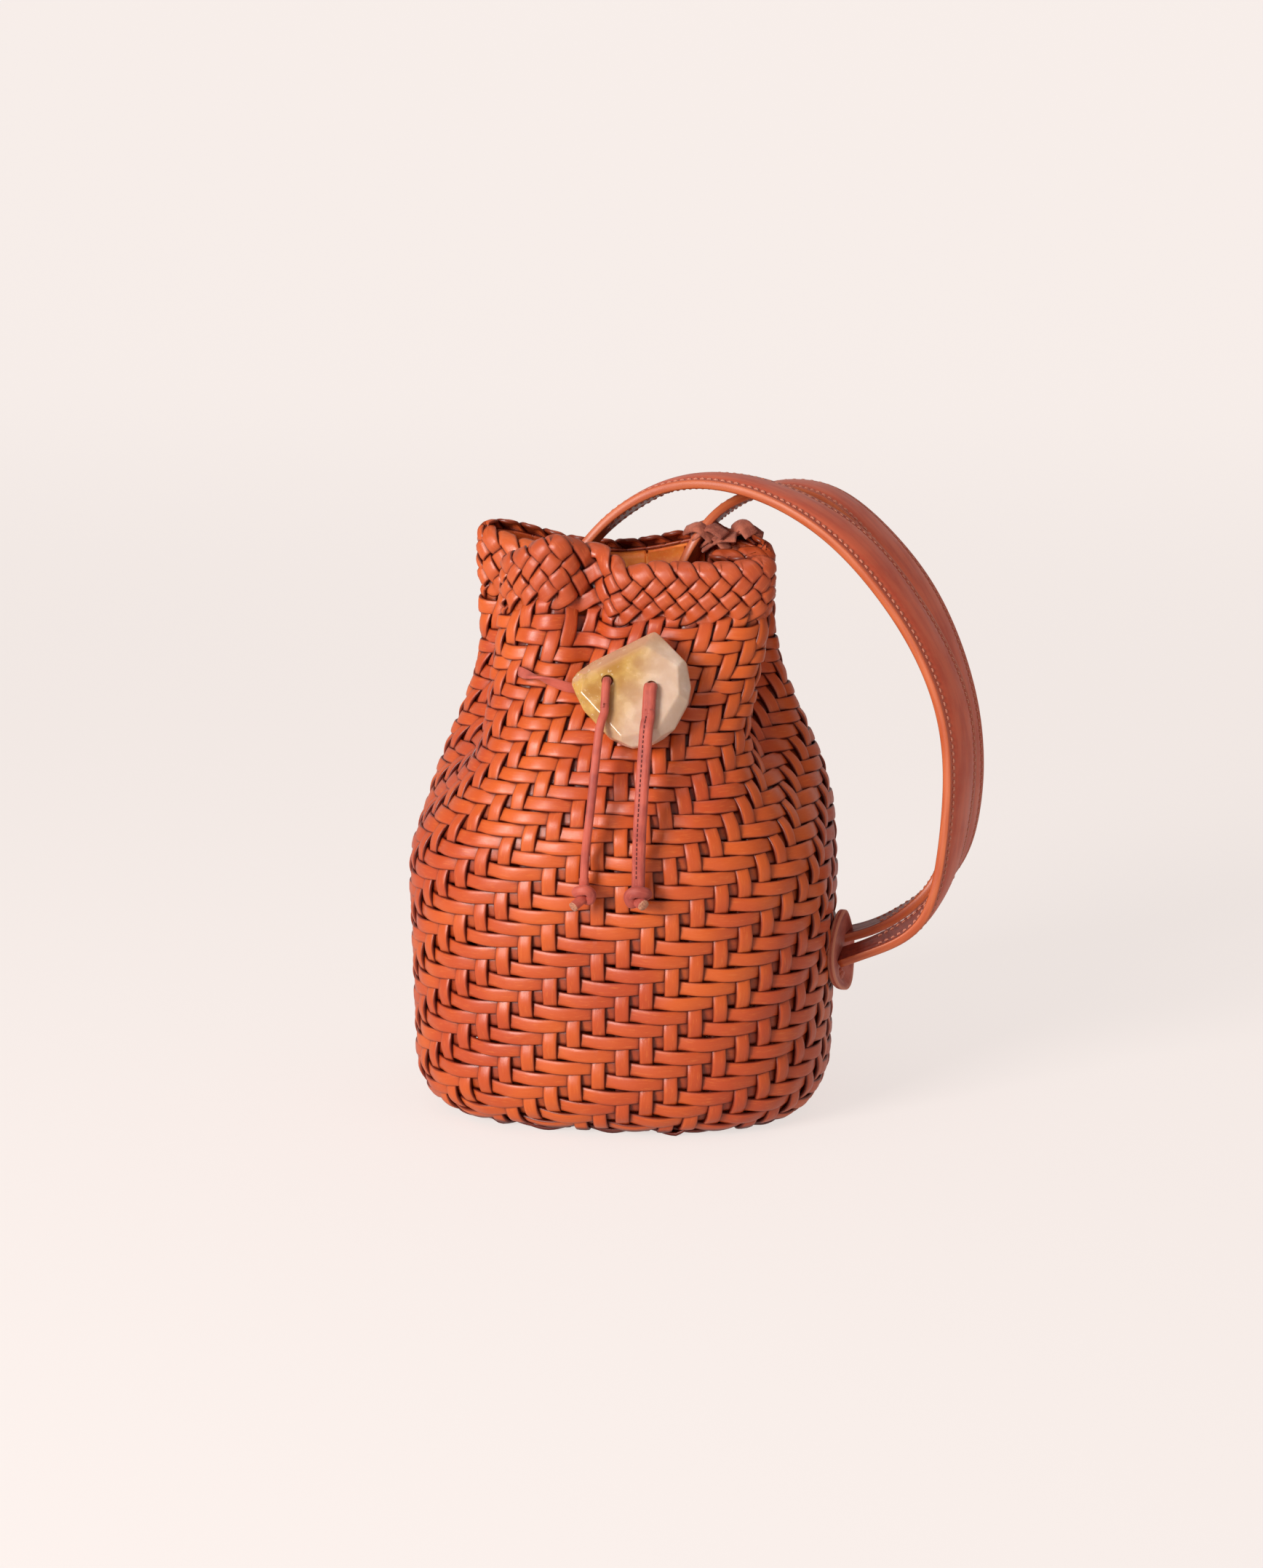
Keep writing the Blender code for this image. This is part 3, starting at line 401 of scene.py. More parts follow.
def add_weft(strips, row):
    """One row round the bag, over two warps and under two."""
    u = np.arange(WEFT_STEPS) / WEFT_STEPS
    middle = FIRST_WEFT + WEFT_PITCH * row
    loose = float(smoothstep(LOOSE_V, middle))
    wave = np.cos(2 * math.pi * (u * WARPS - row + WEAVE_PHASE + 2.5) / REPEAT)
    v = middle - SAG * wave * smoothstep((FIRST_WEFT, FIRST_WEFT + 0.012), middle)
    v = v + wobble(u, ((2, 0.00020), (5, 0.00016 + 0.0003 * loose), (11, 0.00014 + 0.00035 * loose)))
    lift = RELIEF * (wave + 0.12 * loose * (wave > 0)) * (1.0 + wobble(u, ((7, 0.08),)))
    width = WEFT_WIDTH * (1.0 + RANDOM.normal(0.0, 0.012) + wobble(u, ((9, 0.02),)))
    width = width * (1.0 + SUNK_WIDER * smoothstep(SUNK, wave))
    add_ribbon(strips, u, v, lift, wave, width, True)


def add_warp(strips, warp):
    """One upright strip from the base to the inside of the rim, over two rows and under two."""
    start, stop = 0.0015, TOP_V - WARP_END
    v = np.arange(start, stop, WARP_STEP)
    row = (v - FIRST_WEFT) / WEFT_PITCH
    wave = np.cos(2 * math.pi * (row - warp - WEAVE_PHASE - 0.5) / REPEAT)
    woven = smoothstep((FIRST_WEFT - 0.004, FIRST_WEFT + 0.002), v)
    behind = smoothstep((BAND_V - 0.001, BAND_V + 0.005), v)
    lift = RELIEF * wave * woven * (1 - behind) - TUCK * (1 - woven) - TUCK * behind
    share = (v - start) / (stop - start)
    loose = smoothstep(LOOSE_V, v)
    u = warp / WARPS + wobble(share * 0.5, ((3, 0.0003), (8, 0.0004))) * (1.0 + 1.2 * loose)
    width = WARP_WIDTH * (1.0 + RANDOM.normal(0.0, 0.02) + wobble(share, ((3, 0.02),)))
    width = width * (1.0 + WARP_SUNK_WIDER * smoothstep(SUNK, wave)) * (1.0 + TUCK_WIDER * behind)
    add_ribbon(strips, u, v, lift, np.where(behind > 0.5, -1.0, wave), width)


# --- the braided rim ---

BRAID_STRANDS = 5
BRAID_LOOPS = 40
BRAID_WIDTH = 0.0068
BRAID_THICKNESS = 0.0016
BRAID_WAVE = 0.00105
BRAID_PROUD = 0.0008
BRAID_ROUND = 0.94
BRAID_STEPS = 400
BRAID_EDGE_SUNK = 0.0016
BRAID_LOW = BAND_V + 0.0010
BRAID_HIGH = TOP_V - 0.0034
# Over (+1) and under (-1) at each crossing of a strand on its way up and down again; 0 where it turns
BRAID_ORDER = (0, -1, 1, -1, 1, 0.6, -1, 1, -1, 1, 0)


def add_braid_strand(strips, strand):
    """One strand of the flat braid: up across the band, round a loop at its edge, down again, all the way round."""
    period = 2 * BRAID_STRANDS
    place = np.linspace(0.0, 2 * BRAID_LOOPS, BRAID_STEPS * 2, endpoint=False)
    height = np.arcsin(BRAID_ROUND * np.cos(math.pi * (place - BRAID_STRANDS) / BRAID_STRANDS))
    height = 0.5 + 0.5 * height / math.asin(BRAID_ROUND)
    phase = place % period
    low = phase.astype(int)
    order = np.array(BRAID_ORDER, float)
    ease = smoothstep((0.18, 0.82), phase - low)
    wave = order[low] * (1 - ease) + order[(low + 1) % len(order)] * ease
    u = -(place + 2 * strand) / (2 * BRAID_LOOPS)
    v = BRAID_LOW + (BRAID_HIGH - BRAID_LOW) * height + wobble(u, ((9, 0.0003), (17, 0.0002)))
    sunk = 1.0 - smoothstep((0.0, 0.16), height)
    lift = BRAID_WAVE * wave + BRAID_PROUD - BRAID_EDGE_SUNK * sunk
    width = BRAID_WIDTH * (1.0 + wobble(u, ((7, 0.03), (13, 0.02))))
    add_ribbon(strips, u % 1.0, v, lift, wave, width, True, BRAID_THICKNESS)


# --- the base ---

BASE_OVERLAP = 0.0045
BASE_HALF = [half - BASE_EDGE_INSET + BASE_OVERLAP for half in (HALF_WIDTH, HALF_DEPTH)]
BASE_POWER = 2.6
BASE_TUCK = 0.0022
BASE_EXTRA_WIDTH = 0.0006
BASE_STEP = 0.0022
SHORTEST_HALF = 0.010


def sweep(strips, centres, sides, outs, profile, wave, tone, closed=False):
    """A section carried along a line; profile is (across, out) pairs, or one list of them for each step."""
    profile = np.asarray(profile, float)
    if profile.ndim == 2:
        profile = np.broadcast_to(profile, (len(centres), *profile.shape))
    rings = centres[:, None] + sides[:, None] * profile[..., :1] + outs[:, None] * profile[..., 1:]
    run = run_along(centres)
    widest = np.abs(profile[..., 0]).max()
    across = profile[len(profile) // 2, :, 0] / widest
    strips.add(rings, across, np.broadcast_to(wave, len(centres)), run, tone, closed)


def add_base(strips):
    """The flat base: the same twill, laid straight both ways."""
    pitches = (WEFT_PITCH, WARP_WIDTH + WARP_GAP)
    for way in (0, 1):
        pitch, other = pitches[way], pitches[1 - way]
        width = (WEFT_WIDTH, WARP_WIDTH)[way] + BASE_EXTRA_WIDTH
        reach = BASE_HALF[1 - way]
        count = int(reach / pitch)
        for line in range(-count, count + 1):
            off = line * pitch
            half = BASE_HALF[way] * max(1.0 - abs(off / reach) ** BASE_POWER, 0.0) ** (1 / BASE_POWER) - 0.001
            if half < SHORTEST_HALF:
                continue
            along = np.arange(-half, half, BASE_STEP)
            turn = along / other - line + 0.5 - way
            wave = np.cos(2 * math.pi * turn / REPEAT) * (2 * way - 1)
            ends = 1.0 - smoothstep((0.0, 0.008), half - np.abs(along))
            lift = RELIEF * wave * (1 - ends) - BASE_TUCK * ends
            centres = np.zeros((len(along), 3))
            centres[:, way] = along
            centres[:, 1 - way] = off
            centres[:, 2] = WALL_INSET - lift
            side = np.zeros((len(along), 3))
            side[:, 1 - way] = 1.0
            down = np.tile([0.0, 0.0, -1.0], (len(along), 1))
            sweep(strips, centres, side, down, strip_profile(width, STRIP_THICKNESS), wave, RANDOM.random())


# --- paths in space ---


def smooth_path(points, count):
    """Evenly spaced points on a smooth curve through the given ones, and its length."""
    points = np.array([tuple(p) for p in points], float)
    padded = np.vstack([2 * points[0] - points[1], points, 2 * points[-1] - points[-2]])
    dense = []
    for index in range(len(points) - 1):
        p0, p1, p2, p3 = padded[index : index + 4]
        t = np.linspace(0.0, 1.0, 24, endpoint=False)[:, None]
        square = 2 * p0 - 5 * p1 + 4 * p2 - p3
        cube = 3 * p1 - p0 - 3 * p2 + p3
        dense.append(p1 + 0.5 * ((p2 - p0) * t + square * t**2 + cube * t**3))
    dense = np.vstack([*dense, points[-1:]])
    length = run_along(dense)
    return interpolate(np.linspace(0.0, length[-1], count), length, dense), length[-1]


def unit(vectors):
    return vectors / np.linalg.norm(vectors, axis=-1, keepdims=True)


def run_along(points):
    """The length along a line at each of its points."""
    return np.cumsum(np.linalg.norm(np.diff(points, axis=0, prepend=points[:1]), axis=1))


def interpolate(at, known, values):
    return np.column_stack([np.interp(at, known, values[:, axis]) for axis in range(3)])


def squared(vectors, line):
    """The line's directions, and the vectors turned square to them."""
    tangent = unit(np.gradient(line, axis=0))
    return tangent, unit(vectors - tangent * np.sum(vectors * tangent, axis=1)[:, None])


def frames(path, face):
    """Side and outward directions along a path whose flat faces look along face (one vector or one a point)."""
    tangent = unit(np.gradient(path, axis=0))
    face = np.broadcast_to(np.asarray(face, float), path.shape)
    side = unit(np.cross(tangent, face))
    return side, np.cross(side, tangent)


def round_profile(wide, thick, points=12, groove=0.0, groove_at=0.0):
    """A rounded section, optionally with a sewn groove along its outer face."""
    angle = np.linspace(0.0, 2 * math.pi, points, endpoint=False) + math.pi / points
    across = wide * np.sign(np.cos(angle)) * np.abs(np.cos(angle)) ** 0.8
    out = thick * np.sign(np.sin(angle)) * np.abs(np.sin(angle)) ** 0.8
    out = out - groove * bump(across / wide, groove_at, 0.16) * (out > 0)
    return np.column_stack([across, out])


# --- materials ---


class Shader:
    """A small helper that adds nodes to one material and wires them."""

    def __init__(self, name):
        self.material = bpy.data.materials.new(name)
        self.material.use_nodes = True
        self.tree = self.material.node_tree
        self.surface = self.tree.nodes["Principled BSDF"]

    def node(self, kind, settings=None, **inputs):
        made = self.tree.nodes.new("ShaderNode" + kind)
        for key, value in (settings or {}).items():
            setattr(made, key, value)
        self.wire(made, **inputs)
        return made

    def wire(self, node, **inputs):
        for key, value in inputs.items():
            socket = node.inputs[int(key[1:])] if key[1:].isdigit() else node.inputs[key.replace("_", " ")]
            if isinstance(value, bpy.types.NodeSocket):
                self.tree.links.new(value, socket)
            else:
                socket.default_value = value

    def value(self, name):
        return self.node("Attribute", {"attribute_name": name}).outputs["Fac"]

    def place(self):
        return self.node("TexCoord").outputs["Object"]

    def math(self, operation, a, b=0.0, clamp=False):
        return self.node("Math", {"operation": operation, "use_clamp": clamp}, i0=a, i1=b).outputs[0]

    def spread(self, along, across, tone=0.0):
        """A place on a strip, from its along, across and tone values, each scaled."""
        made = self.node("CombineXYZ")
        for socket, name, scale in (("X", "along", along), ("Y", "across", across), ("Z", "tone", tone)):
            if scale:
                self.wire(made, **{socket: self.math("MULTIPLY", self.value(name), scale)})
        return made.outputs[0]

    def patches(self, scale, detail=3.0, roughness=0.5):
        return self.noise(self.place(), scale, detail, roughness)

    def noise(self, vector, scale, detail=3.0, roughness=0.5):
        made = self.node("TexNoise", Vector=vector, Scale=scale, Detail=detail, Roughness=roughness)
        return made.outputs["Fac"]

    def ramp(self, value, low, high, out_low=0.0, out_high=1.0):
        made = self.node("MapRange", {"interpolation_type": "SMOOTHSTEP"}, Value=value)
        self.wire(made, From_Min=low, From_Max=high, To_Min=out_low, To_Max=out_high)
        return made.outputs[0]

    def hidden(self, distance):
        """How far a point lies in a crevice: 0 in the open, towards 1 deep inside."""
        shade = self.node("AmbientOcclusion", {"samples": 6}, Distance=distance)
        return self.math("SUBTRACT", 1.0, shade.outputs["AO"])

    def mix(self, share, a, b):
        return self.node("Mix", {"data_type": "RGBA"}, i0=share, i6=a, i7=b).outputs[2]

    def over(self, value, low, high, a, b, most=1.0):
        """Colour a, going over to b as the value goes from low to high."""
        return self.mix(self.ramp(value, low, high, 0.0, most), a, b)

    def bump(self, height, distance, strength=1.0, normal=None):
        made = self.node("Bump", Height=height, Distance=distance, Strength=strength)
        if normal is not None:
            self.wire(made, Normal=normal)
        return made.outputs[0]

    def finish(self, colour, roughness, normal=None, **more):
        self.wire(self.surface, Base_Color=colour, Roughness=roughness, **more)
        if normal is not None:
            self.wire(self.surface, Normal=normal)
        return self.material


GAP_SHADE = (0.14, 0.52)


def rgb(red, green, blue):
    """A colour given as screen values of 0 to 255."""
    return (*[(c / 255 / 12.92) if c < 11 else ((c / 255 + 0.055) / 1.055) ** 2.4 for c in (red, green, blue)], 1.0)


def woven_leather(name, base, red, dark, light, rough=0.38, edge=0.72):
    """Vegetable-tanned strips: dark burnished edges that also carry painted shade in the gaps, painted shade where
    they dive under and in the crevices between them.
    """
    s = Shader(name)
    tone, across, lift = s.value("tone"), s.value("across"), s.value("lift")
    streak = s.noise(s.spread(60.0, 1.2, 57.0), 3.2, 4.0, 0.6)
    grain = s.noise(s.spread(240.0, 9.0, 91.0), 2.0, 3.0, 0.6)
    cloud = s.patches(22.0, 2.0, 0.5)
    colour = s.over(cloud, 0.35, 0.68, base, red)
    colour = s.over(tone, 0.55, 1.0, colour, red, 0.45)
    colour = s.over(streak, 0.52, 0.74, colour, light, 0.5)
    colour = s.over(streak, 0.42, 0.22, colour, red, 0.45)
    # Painted shade: the strips go darker where they dive under the crossing strips.
    colour = s.over(lift, 0.10, -0.75, colour, dark, 0.10)
    # The strips' dark burnished edges, made darker still as painted shade along the gaps between strips.
    rim = s.ramp(s.math("ABSOLUTE", across), 0.78, 1.0, 0.0, edge)
    colour = s.mix(rim, colour, dark)
    # Painted shade: ambient occlusion darkens the leather in the crevices between the strips.
    colour = s.over(s.hidden(0.0045), GAP_SHADE[0], GAP_SHADE[1], colour, dark, 0.92)
    patchy = s.patches(130.0, 3.0, 0.6)
    roughness = s.ramp(patchy, 0.3, 0.75, rough - 0.06, rough + 0.14)
    normal = s.bump(grain, 0.00010, 0.55)
    normal = s.bump(s.patches(1900.0, 2.0), 0.00006, 0.5, normal)
    return s.finish(
        colour, roughness, normal, Specular_IOR_Level=0.5, Coat_Weight=0.18, Coat_Roughness=0.32
    )


# The fourth colour of each is the painted shade under and between the strips, and also their dark burnished edge
# colour.
COGNAC = woven_leather("woven_leather", rgb(222, 98, 32), rgb(200, 76, 30), rgb(84, 10, 3), rgb(232, 120, 54))
BRAID_LEATHER = woven_leather("braid_leather", rgb(218, 98, 42), rgb(196, 80, 38), rgb(80, 12, 5), rgb(230, 120, 64))


def strap_leather():
    """Smooth bridle leather: red-brown outside, burnished orange edges, and painted shade on the inner face."""
    s = Shader("strap_leather")
    place = s.value("across")
    cloud = s.noise(s.spread(30.0, 2.0), 1.4)
    fibre = s.patches(420.0, 3.0, 0.6)
    face = s.over(cloud, 0.35, 0.68, rgb(228, 104, 68), rgb(208, 84, 54))
    face = s.over(fibre, 0.42, 0.70, face, rgb(214, 110, 76), 0.25)
    face = s.over(place, 0.74, 0.80, face, rgb(140, 48, 34), 0.35)
    face = s.over(place, 0.82, 0.98, face, rgb(214, 112, 72), 0.45)
    edge = s.over(cloud, 0.35, 0.70, rgb(216, 112, 66), rgb(198, 90, 48))
    # Painted shade: the strap's inner face is coloured far darker than its outer face.
    inside = s.over(fibre, 0.35, 0.70, rgb(150, 62, 44), rgb(120, 44, 34))
    colour = s.over(place, 1.00, 1.15, face, edge)
    colour = s.over(place, 1.95, 2.05, colour, inside)
    patchy = s.patches(60.0, 3.0, 0.6)
    roughness = s.ramp(patchy, 0.3, 0.75, 0.36, 0.52)
    pores = s.node("TexVoronoi", Vector=s.place(), Scale=1500.0).outputs["Distance"]
    normal = s.bump(pores, 0.00005, 0.30)
    normal = s.bump(fibre, 0.00010, 0.15, normal)
    return s.finish(colour, roughness, normal, Coat_Weight=0.12, Coat_Roughness=0.35)


def cord_leather():
    s = Shader("cord_leather")
    cut = s.value("lift")
    streak = s.noise(s.spread(90.0, 3.0), 1.6, 4.0, 0.6)
    cloud = s.patches(90.0, 3.0, 0.5)
    colour = s.over(cloud, 0.35, 0.66, rgb(205, 92, 72), rgb(172, 70, 58))
    colour = s.over(streak, 0.50, 0.72, colour, rgb(224, 120, 98), 0.5)
    colour = s.over(streak, 0.42, 0.25, colour, rgb(138, 54, 48), 0.5)
    fibre = s.patches(1300.0, 3.0, 0.7)
    pale = s.over(fibre, 0.35, 0.68, rgb(214, 150, 112), rgb(160, 92, 74))
    colour = s.over(cut, 0.55, 0.75, colour, pale)
    normal = s.bump(s.patches(700.0, 4.0, 0.6), 0.00015, 0.5)
    return s.finish(colour, s.ramp(streak, 0.3, 0.7, 0.50, 0.66), normal, Sheen_Weight=0.12)


def rough_leather(name, base, dark, light, scale):
    """The raw side of leather: matt, fibrous, uneven."""
    s = Shader(name)
    cloud = s.patches(scale, 4.0, 0.6)
    fibre = s.patches(scale * 9.0, 5.0, 0.7)
    colour = s.over(cloud, 0.35, 0.65, base, dark)
    colour = s.over(fibre, 0.50, 0.72, colour, light, 0.55)
    colour = s.over(fibre, 0.42, 0.28, colour, dark, 0.45)
    normal = s.bump(fibre, 0.0005, 0.7)
    return s.finish(colour, s.ramp(fibre, 0.3, 0.7, 0.62, 0.85), normal, Sheen_Weight=0.2)


def tab_leather():
    s = Shader("tab_leather")
    across, dimple = s.value("across"), s.value("lift")
    cloud = s.patches(110.0, 4.0, 0.6)
    fibre = s.patches(900.0, 4.0, 0.6)
    colour = s.over(cloud, 0.35, 0.65, rgb(206, 108, 84), rgb(180, 82, 66))
    colour = s.over(s.math("ABSOLUTE", across), 0.86, 1.0, colour, rgb(232, 150, 118), 0.85)
    # Painted shade in the dimple where the thong ties the leaf down.
    colour = s.over(dimple, 0.25, 1.0, colour, rgb(120, 44, 34), 0.55)
    normal = s.bump(fibre, 0.00025, 0.6)
    return s.finish(colour, s.ramp(cloud, 0.3, 0.7, 0.48, 0.66), normal, Sheen_Weight=0.1)


def tan_leather():
    s = Shader("tan_leather")
    cloud = s.patches(120.0, 3.0, 0.5)
    fibre = s.patches(800.0, 4.0, 0.6)
    colour = s.over(cloud, 0.35, 0.65, rgb(250, 140, 52), rgb(236, 112, 38))
    colour = s.over(fibre, 0.50, 0.72, colour, rgb(252, 172, 92), 0.4)
    return s.finish(colour, s.ramp(fibre, 0.3, 0.7, 0.50, 0.68), s.bump(fibre, 0.0002, 0.5))


def thread_material(name, base, dark):
    s = Shader(name)
    along = s.value("along")
    twist = s.math("SINE", s.math("MULTIPLY", along, 9000.0))
    colour = s.over(twist, -0.8, 0.8, dark, base)
    return s.finish(colour, 0.7, s.bump(twist, 0.00008, 0.6), Sheen_Weight=0.2)


def quartz():
    """Tumbled yellow quartz: clear honey above, milky below and to the right, flecks at its left end."""
    s = Shader("tumbled_quartz")
    x, y, z = s.node("SeparateXYZ", Vector=s.node("TexCoord").outputs["Object"]).outputs[:3]
    cloud = s.patches(75.0, 4.0, 0.55)
    veil = s.patches(120.0, 3.0, 0.5)
    right = s.math("ADD", s.math("MULTIPLY", x, 60.0), s.math("MULTIPLY", z, -26.0))
    right = s.math("ADD", right, s.math("MULTIPLY", cloud, 0.9))
    honey = s.over(veil, 0.35, 0.68, rgb(188, 136, 66), rgb(214, 170, 92))
    milky = s.over(veil, 0.35, 0.68, rgb(220, 187, 162), rgb(234, 207, 186))
    colour = s.over(right, -4.7, -3.1, honey, milky)
    blush = s.mix(0.5, rgb(218, 168, 146), rgb(226, 182, 158))
    above = s.math("SUBTRACT", z, s.math("MULTIPLY", x, 0.55))
    colour = s.over(above, 0.2070, 0.2125, colour, blush, 0.65)
    flecks = s.patches(520.0, 4.0, 0.7)
    left = s.ramp(x, -0.0030, -0.0125)
    yellow = s.math("MULTIPLY", left, s.ramp(flecks, 0.52, 0.62))
    colour = s.mix(s.math("MULTIPLY", yellow, 0.75), colour, rgb(222, 172, 40))
    pale = s.math("MULTIPLY", s.ramp(x, 0.020, -0.006), s.ramp(s.patches(330.0, 5.0, 0.7), 0.58, 0.68))
    colour = s.mix(s.math("MULTIPLY", pale, 0.7), colour, rgb(246, 232, 200))
    murk = s.math("MULTIPLY", left, s.ramp(s.patches(260.0, 3.0, 0.6), 0.50, 0.66))
    colour = s.mix(s.math("MULTIPLY", murk, 0.55), colour, rgb(132, 104, 52))
    roughness = s.ramp(veil, 0.3, 0.7, 0.16, 0.30)
    normal = s.bump(cloud, 0.0012, 0.25)
    normal = s.bump(s.patches(420.0, 3.0, 0.5), 0.00012, 0.2, normal)
    return s.finish(
        colour,
        roughness,
        normal,
        Subsurface_Weight=0.45,
        Subsurface_Radius=(1.0, 0.7, 0.4),
        Subsurface_Scale=0.004,
        Coat_Weight=0.35,
        Coat_Roughness=0.18,
    )


STRAP_LEATHER = strap_leather()
CORD = cord_leather()
ROUGH_LEATHER = rough_leather("rough_leather", rgb(208, 116, 88), rgb(156, 76, 56), rgb(228, 150, 118), 140.0)
TAB_LEATHER = tab_leather()
TAN_LEATHER = tan_leather()
THREAD = thread_material("strap_thread", rgb(240, 160, 128), rgb(190, 100, 78))
DARK_THREAD = thread_material("dark_thread", rgb(126, 44, 40), rgb(84, 26, 26))
QUARTZ = quartz()


# --- straps ---

STRAP_WIDTH = 0.0260
TIP_WIDTH = 0.0110
TAPER_START = 0.004
TAPER_LENGTH = 0.060
STRAP_HALF_THICK = 0.0021
PADDING_RISE = 0.0014
STITCH_INSET = 0.0031
GROOVE_DEPTH = 0.00040
GROOVE_SPREAD = 0.00065
STITCH_PITCH = 0.0032
STITCH_LENGTH = 0.0023
STITCH_RADIUS = 0.00050
STITCH_START = 0.016
STRAP_STATIONS = 170
SEAT_STATIONS = 18
STUB_LENGTH = 0.0035
SMOOTHED = 25
SEAT_LEAN = (-0.9, -0.35, 0.0)
# Each strap's line of middles from the rim to the tab, the direction across it, and its seat inside the bag
STRAPS = {
    "near": (
        (
            (-0.0230, 0.0044, 0.2492), (-0.0107, 0.0074, 0.2642), (0.0091, 0.0095, 0.2770),
            (0.0317, 0.0091, 0.2821), (0.0649, 0.0042, 0.2753), (0.0984, -0.0026, 0.2537),
            (0.1305, -0.0077, 0.2129), (0.1453, -0.0104, 0.1692), (0.1431, -0.0098, 0.1126),
            (0.1343, -0.0075, 0.0852), (0.1174, -0.0045, 0.0744), (0.1014, -0.0018, 0.0674),
        ),
        (
            (-0.025, -0.93, 0.37), (0.04, -1.0, -0.05), (-0.31, -0.92, -0.22), (-0.47, -0.88, 0.12),
            (-0.31, -0.94, -0.12), (0.15, -0.94, -0.31),
        ),
        ((-0.0320, 0.0222, 0.2150), (-0.0310, 0.0185, 0.2290), (-0.0270, 0.0125, 0.2400)),
    ),
    "far": (
        (
            (0.0304, 0.0137, 0.2578), (0.0404, 0.0192, 0.2698), (0.0657, 0.0379, 0.2764),
            (0.0894, 0.0405, 0.2682), (0.1172, 0.0358, 0.2377), (0.1364, 0.0267, 0.2019),
            (0.1460, 0.0221, 0.1588), (0.1455, 0.0205, 0.1240), (0.1378, 0.0180, 0.0990),
            (0.1164, 0.0125, 0.0802), (0.1012, 0.0098, 0.0759),
        ),
        (
            (-0.025, -0.93, 0.37), (-0.10, -0.99, -0.05), (-0.35, -0.92, -0.10), (-0.47, -0.88, 0.07),
            (-0.35, -0.93, 0.00), (0.055, -0.987, -0.149),
        ),
        ((0.0205, 0.0222, 0.2150), (0.0215, 0.0210, 0.2320), (0.0255, 0.0192, 0.2460)),
    ),
}


def strap_profile(width):
    """(across, out, place) points: place is 0 to 1 over the outer face, 1 to 2 round the edge, 2 to 3 inside."""
    half = width / 2
    edge = half - 0.0005
    inset = min(STITCH_INSET, 0.27 * width)
    sewn = half - inset
    across = np.concatenate([np.linspace(-edge, -sewn - 0.0008, 4), np.linspace(-sewn, 0.0, 7)])
    across = np.concatenate([across, -across[-2::-1]])
    share = np.abs(across) / sewn
    rise = PADDING_RISE * min(width / STRAP_WIDTH, 1.0) * np.clip(1.0 - share**2.4, 0.0, 1.0)
    groove = GROOVE_DEPTH * min(width / STRAP_WIDTH, 1.0)
    dip = groove * bump(np.abs(across), sewn, GROOVE_SPREAD)
    out = STRAP_HALF_THICK + rise - dip - 0.00018 * smoothstep((sewn, half), np.abs(across))
    place = np.abs(across) / half
    high = STRAP_HALF_THICK
    outer = [(-half, high - 0.0007, 1.25), *zip(across, out, place), (half, high - 0.0007, 1.25)]
    under = -high + 0.6 * groove * bump(np.abs(across), sewn, GROOVE_SPREAD)
    back = 3.0 - np.abs(across) / half
    inner = [(-half, -high + 0.0007, 1.75), *zip(across, under, back), (half, -high + 0.0007, 1.75)]
    return np.array(outer + inner[::-1])


def strap_line(side):
    """Middles, directions across, width and distance from the nearer end of the moving strap, station by station."""
    path, leans, seat = STRAPS[side]
    middles, length = smooth_path(path, STRAP_STATIONS)
    at = np.linspace(0.0, length, STRAP_STATIONS)
    lean = interpolate(at, np.linspace(0.0, length, len(leans)), np.array(leans))
    tangent, lean = squared(lean, middles)
    end = np.minimum(at, length - at)
    width = between(TIP_WIDTH, STRAP_WIDTH, (TAPER_START, TAPER_LENGTH), end)
    middles = middles - lean * width[:, None] / 2
    down, _ = smooth_path([*seat, middles[0]], SEAT_STATIONS)
    share = np.linspace(0.0, 1.0, SEAT_STATIONS)[:, None]
    seat_lean = np.array(SEAT_LEAN) * (1 - share) + lean[0] * share
    stub = middles[-1] + tangent[-1] * np.array([[0.5], [1.0]]) * STUB_LENGTH
    middles = np.vstack([down[:-1], middles, stub])
    lean = np.vstack([seat_lean[:-1], lean, lean[-1:], lean[-1:]])
    held = np.concatenate([np.zeros(SEAT_STATIONS - 1), end, np.zeros(2)])
    width = np.concatenate([np.full(SEAT_STATIONS - 1, TIP_WIDTH), width, np.full(2, TIP_WIDTH)])
    kernel = np.hanning(SMOOTHED + 2)[1:-1] / np.hanning(SMOOTHED + 2).sum()
    reach = SMOOTHED // 2
    for values in (middles, lean):
        for axis in range(3):
            padded = np.pad(values[:, axis], reach, "reflect", reflect_type="odd")
            values[:, axis] = np.convolve(padded, kernel, "valid")
    tangent, lean = squared(lean, middles)
    return middles, lean, np.cross(lean, tangent), width, held


def hold_ends(obj):
    """Bakes the piece's placement into its mesh."""
    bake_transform(obj)


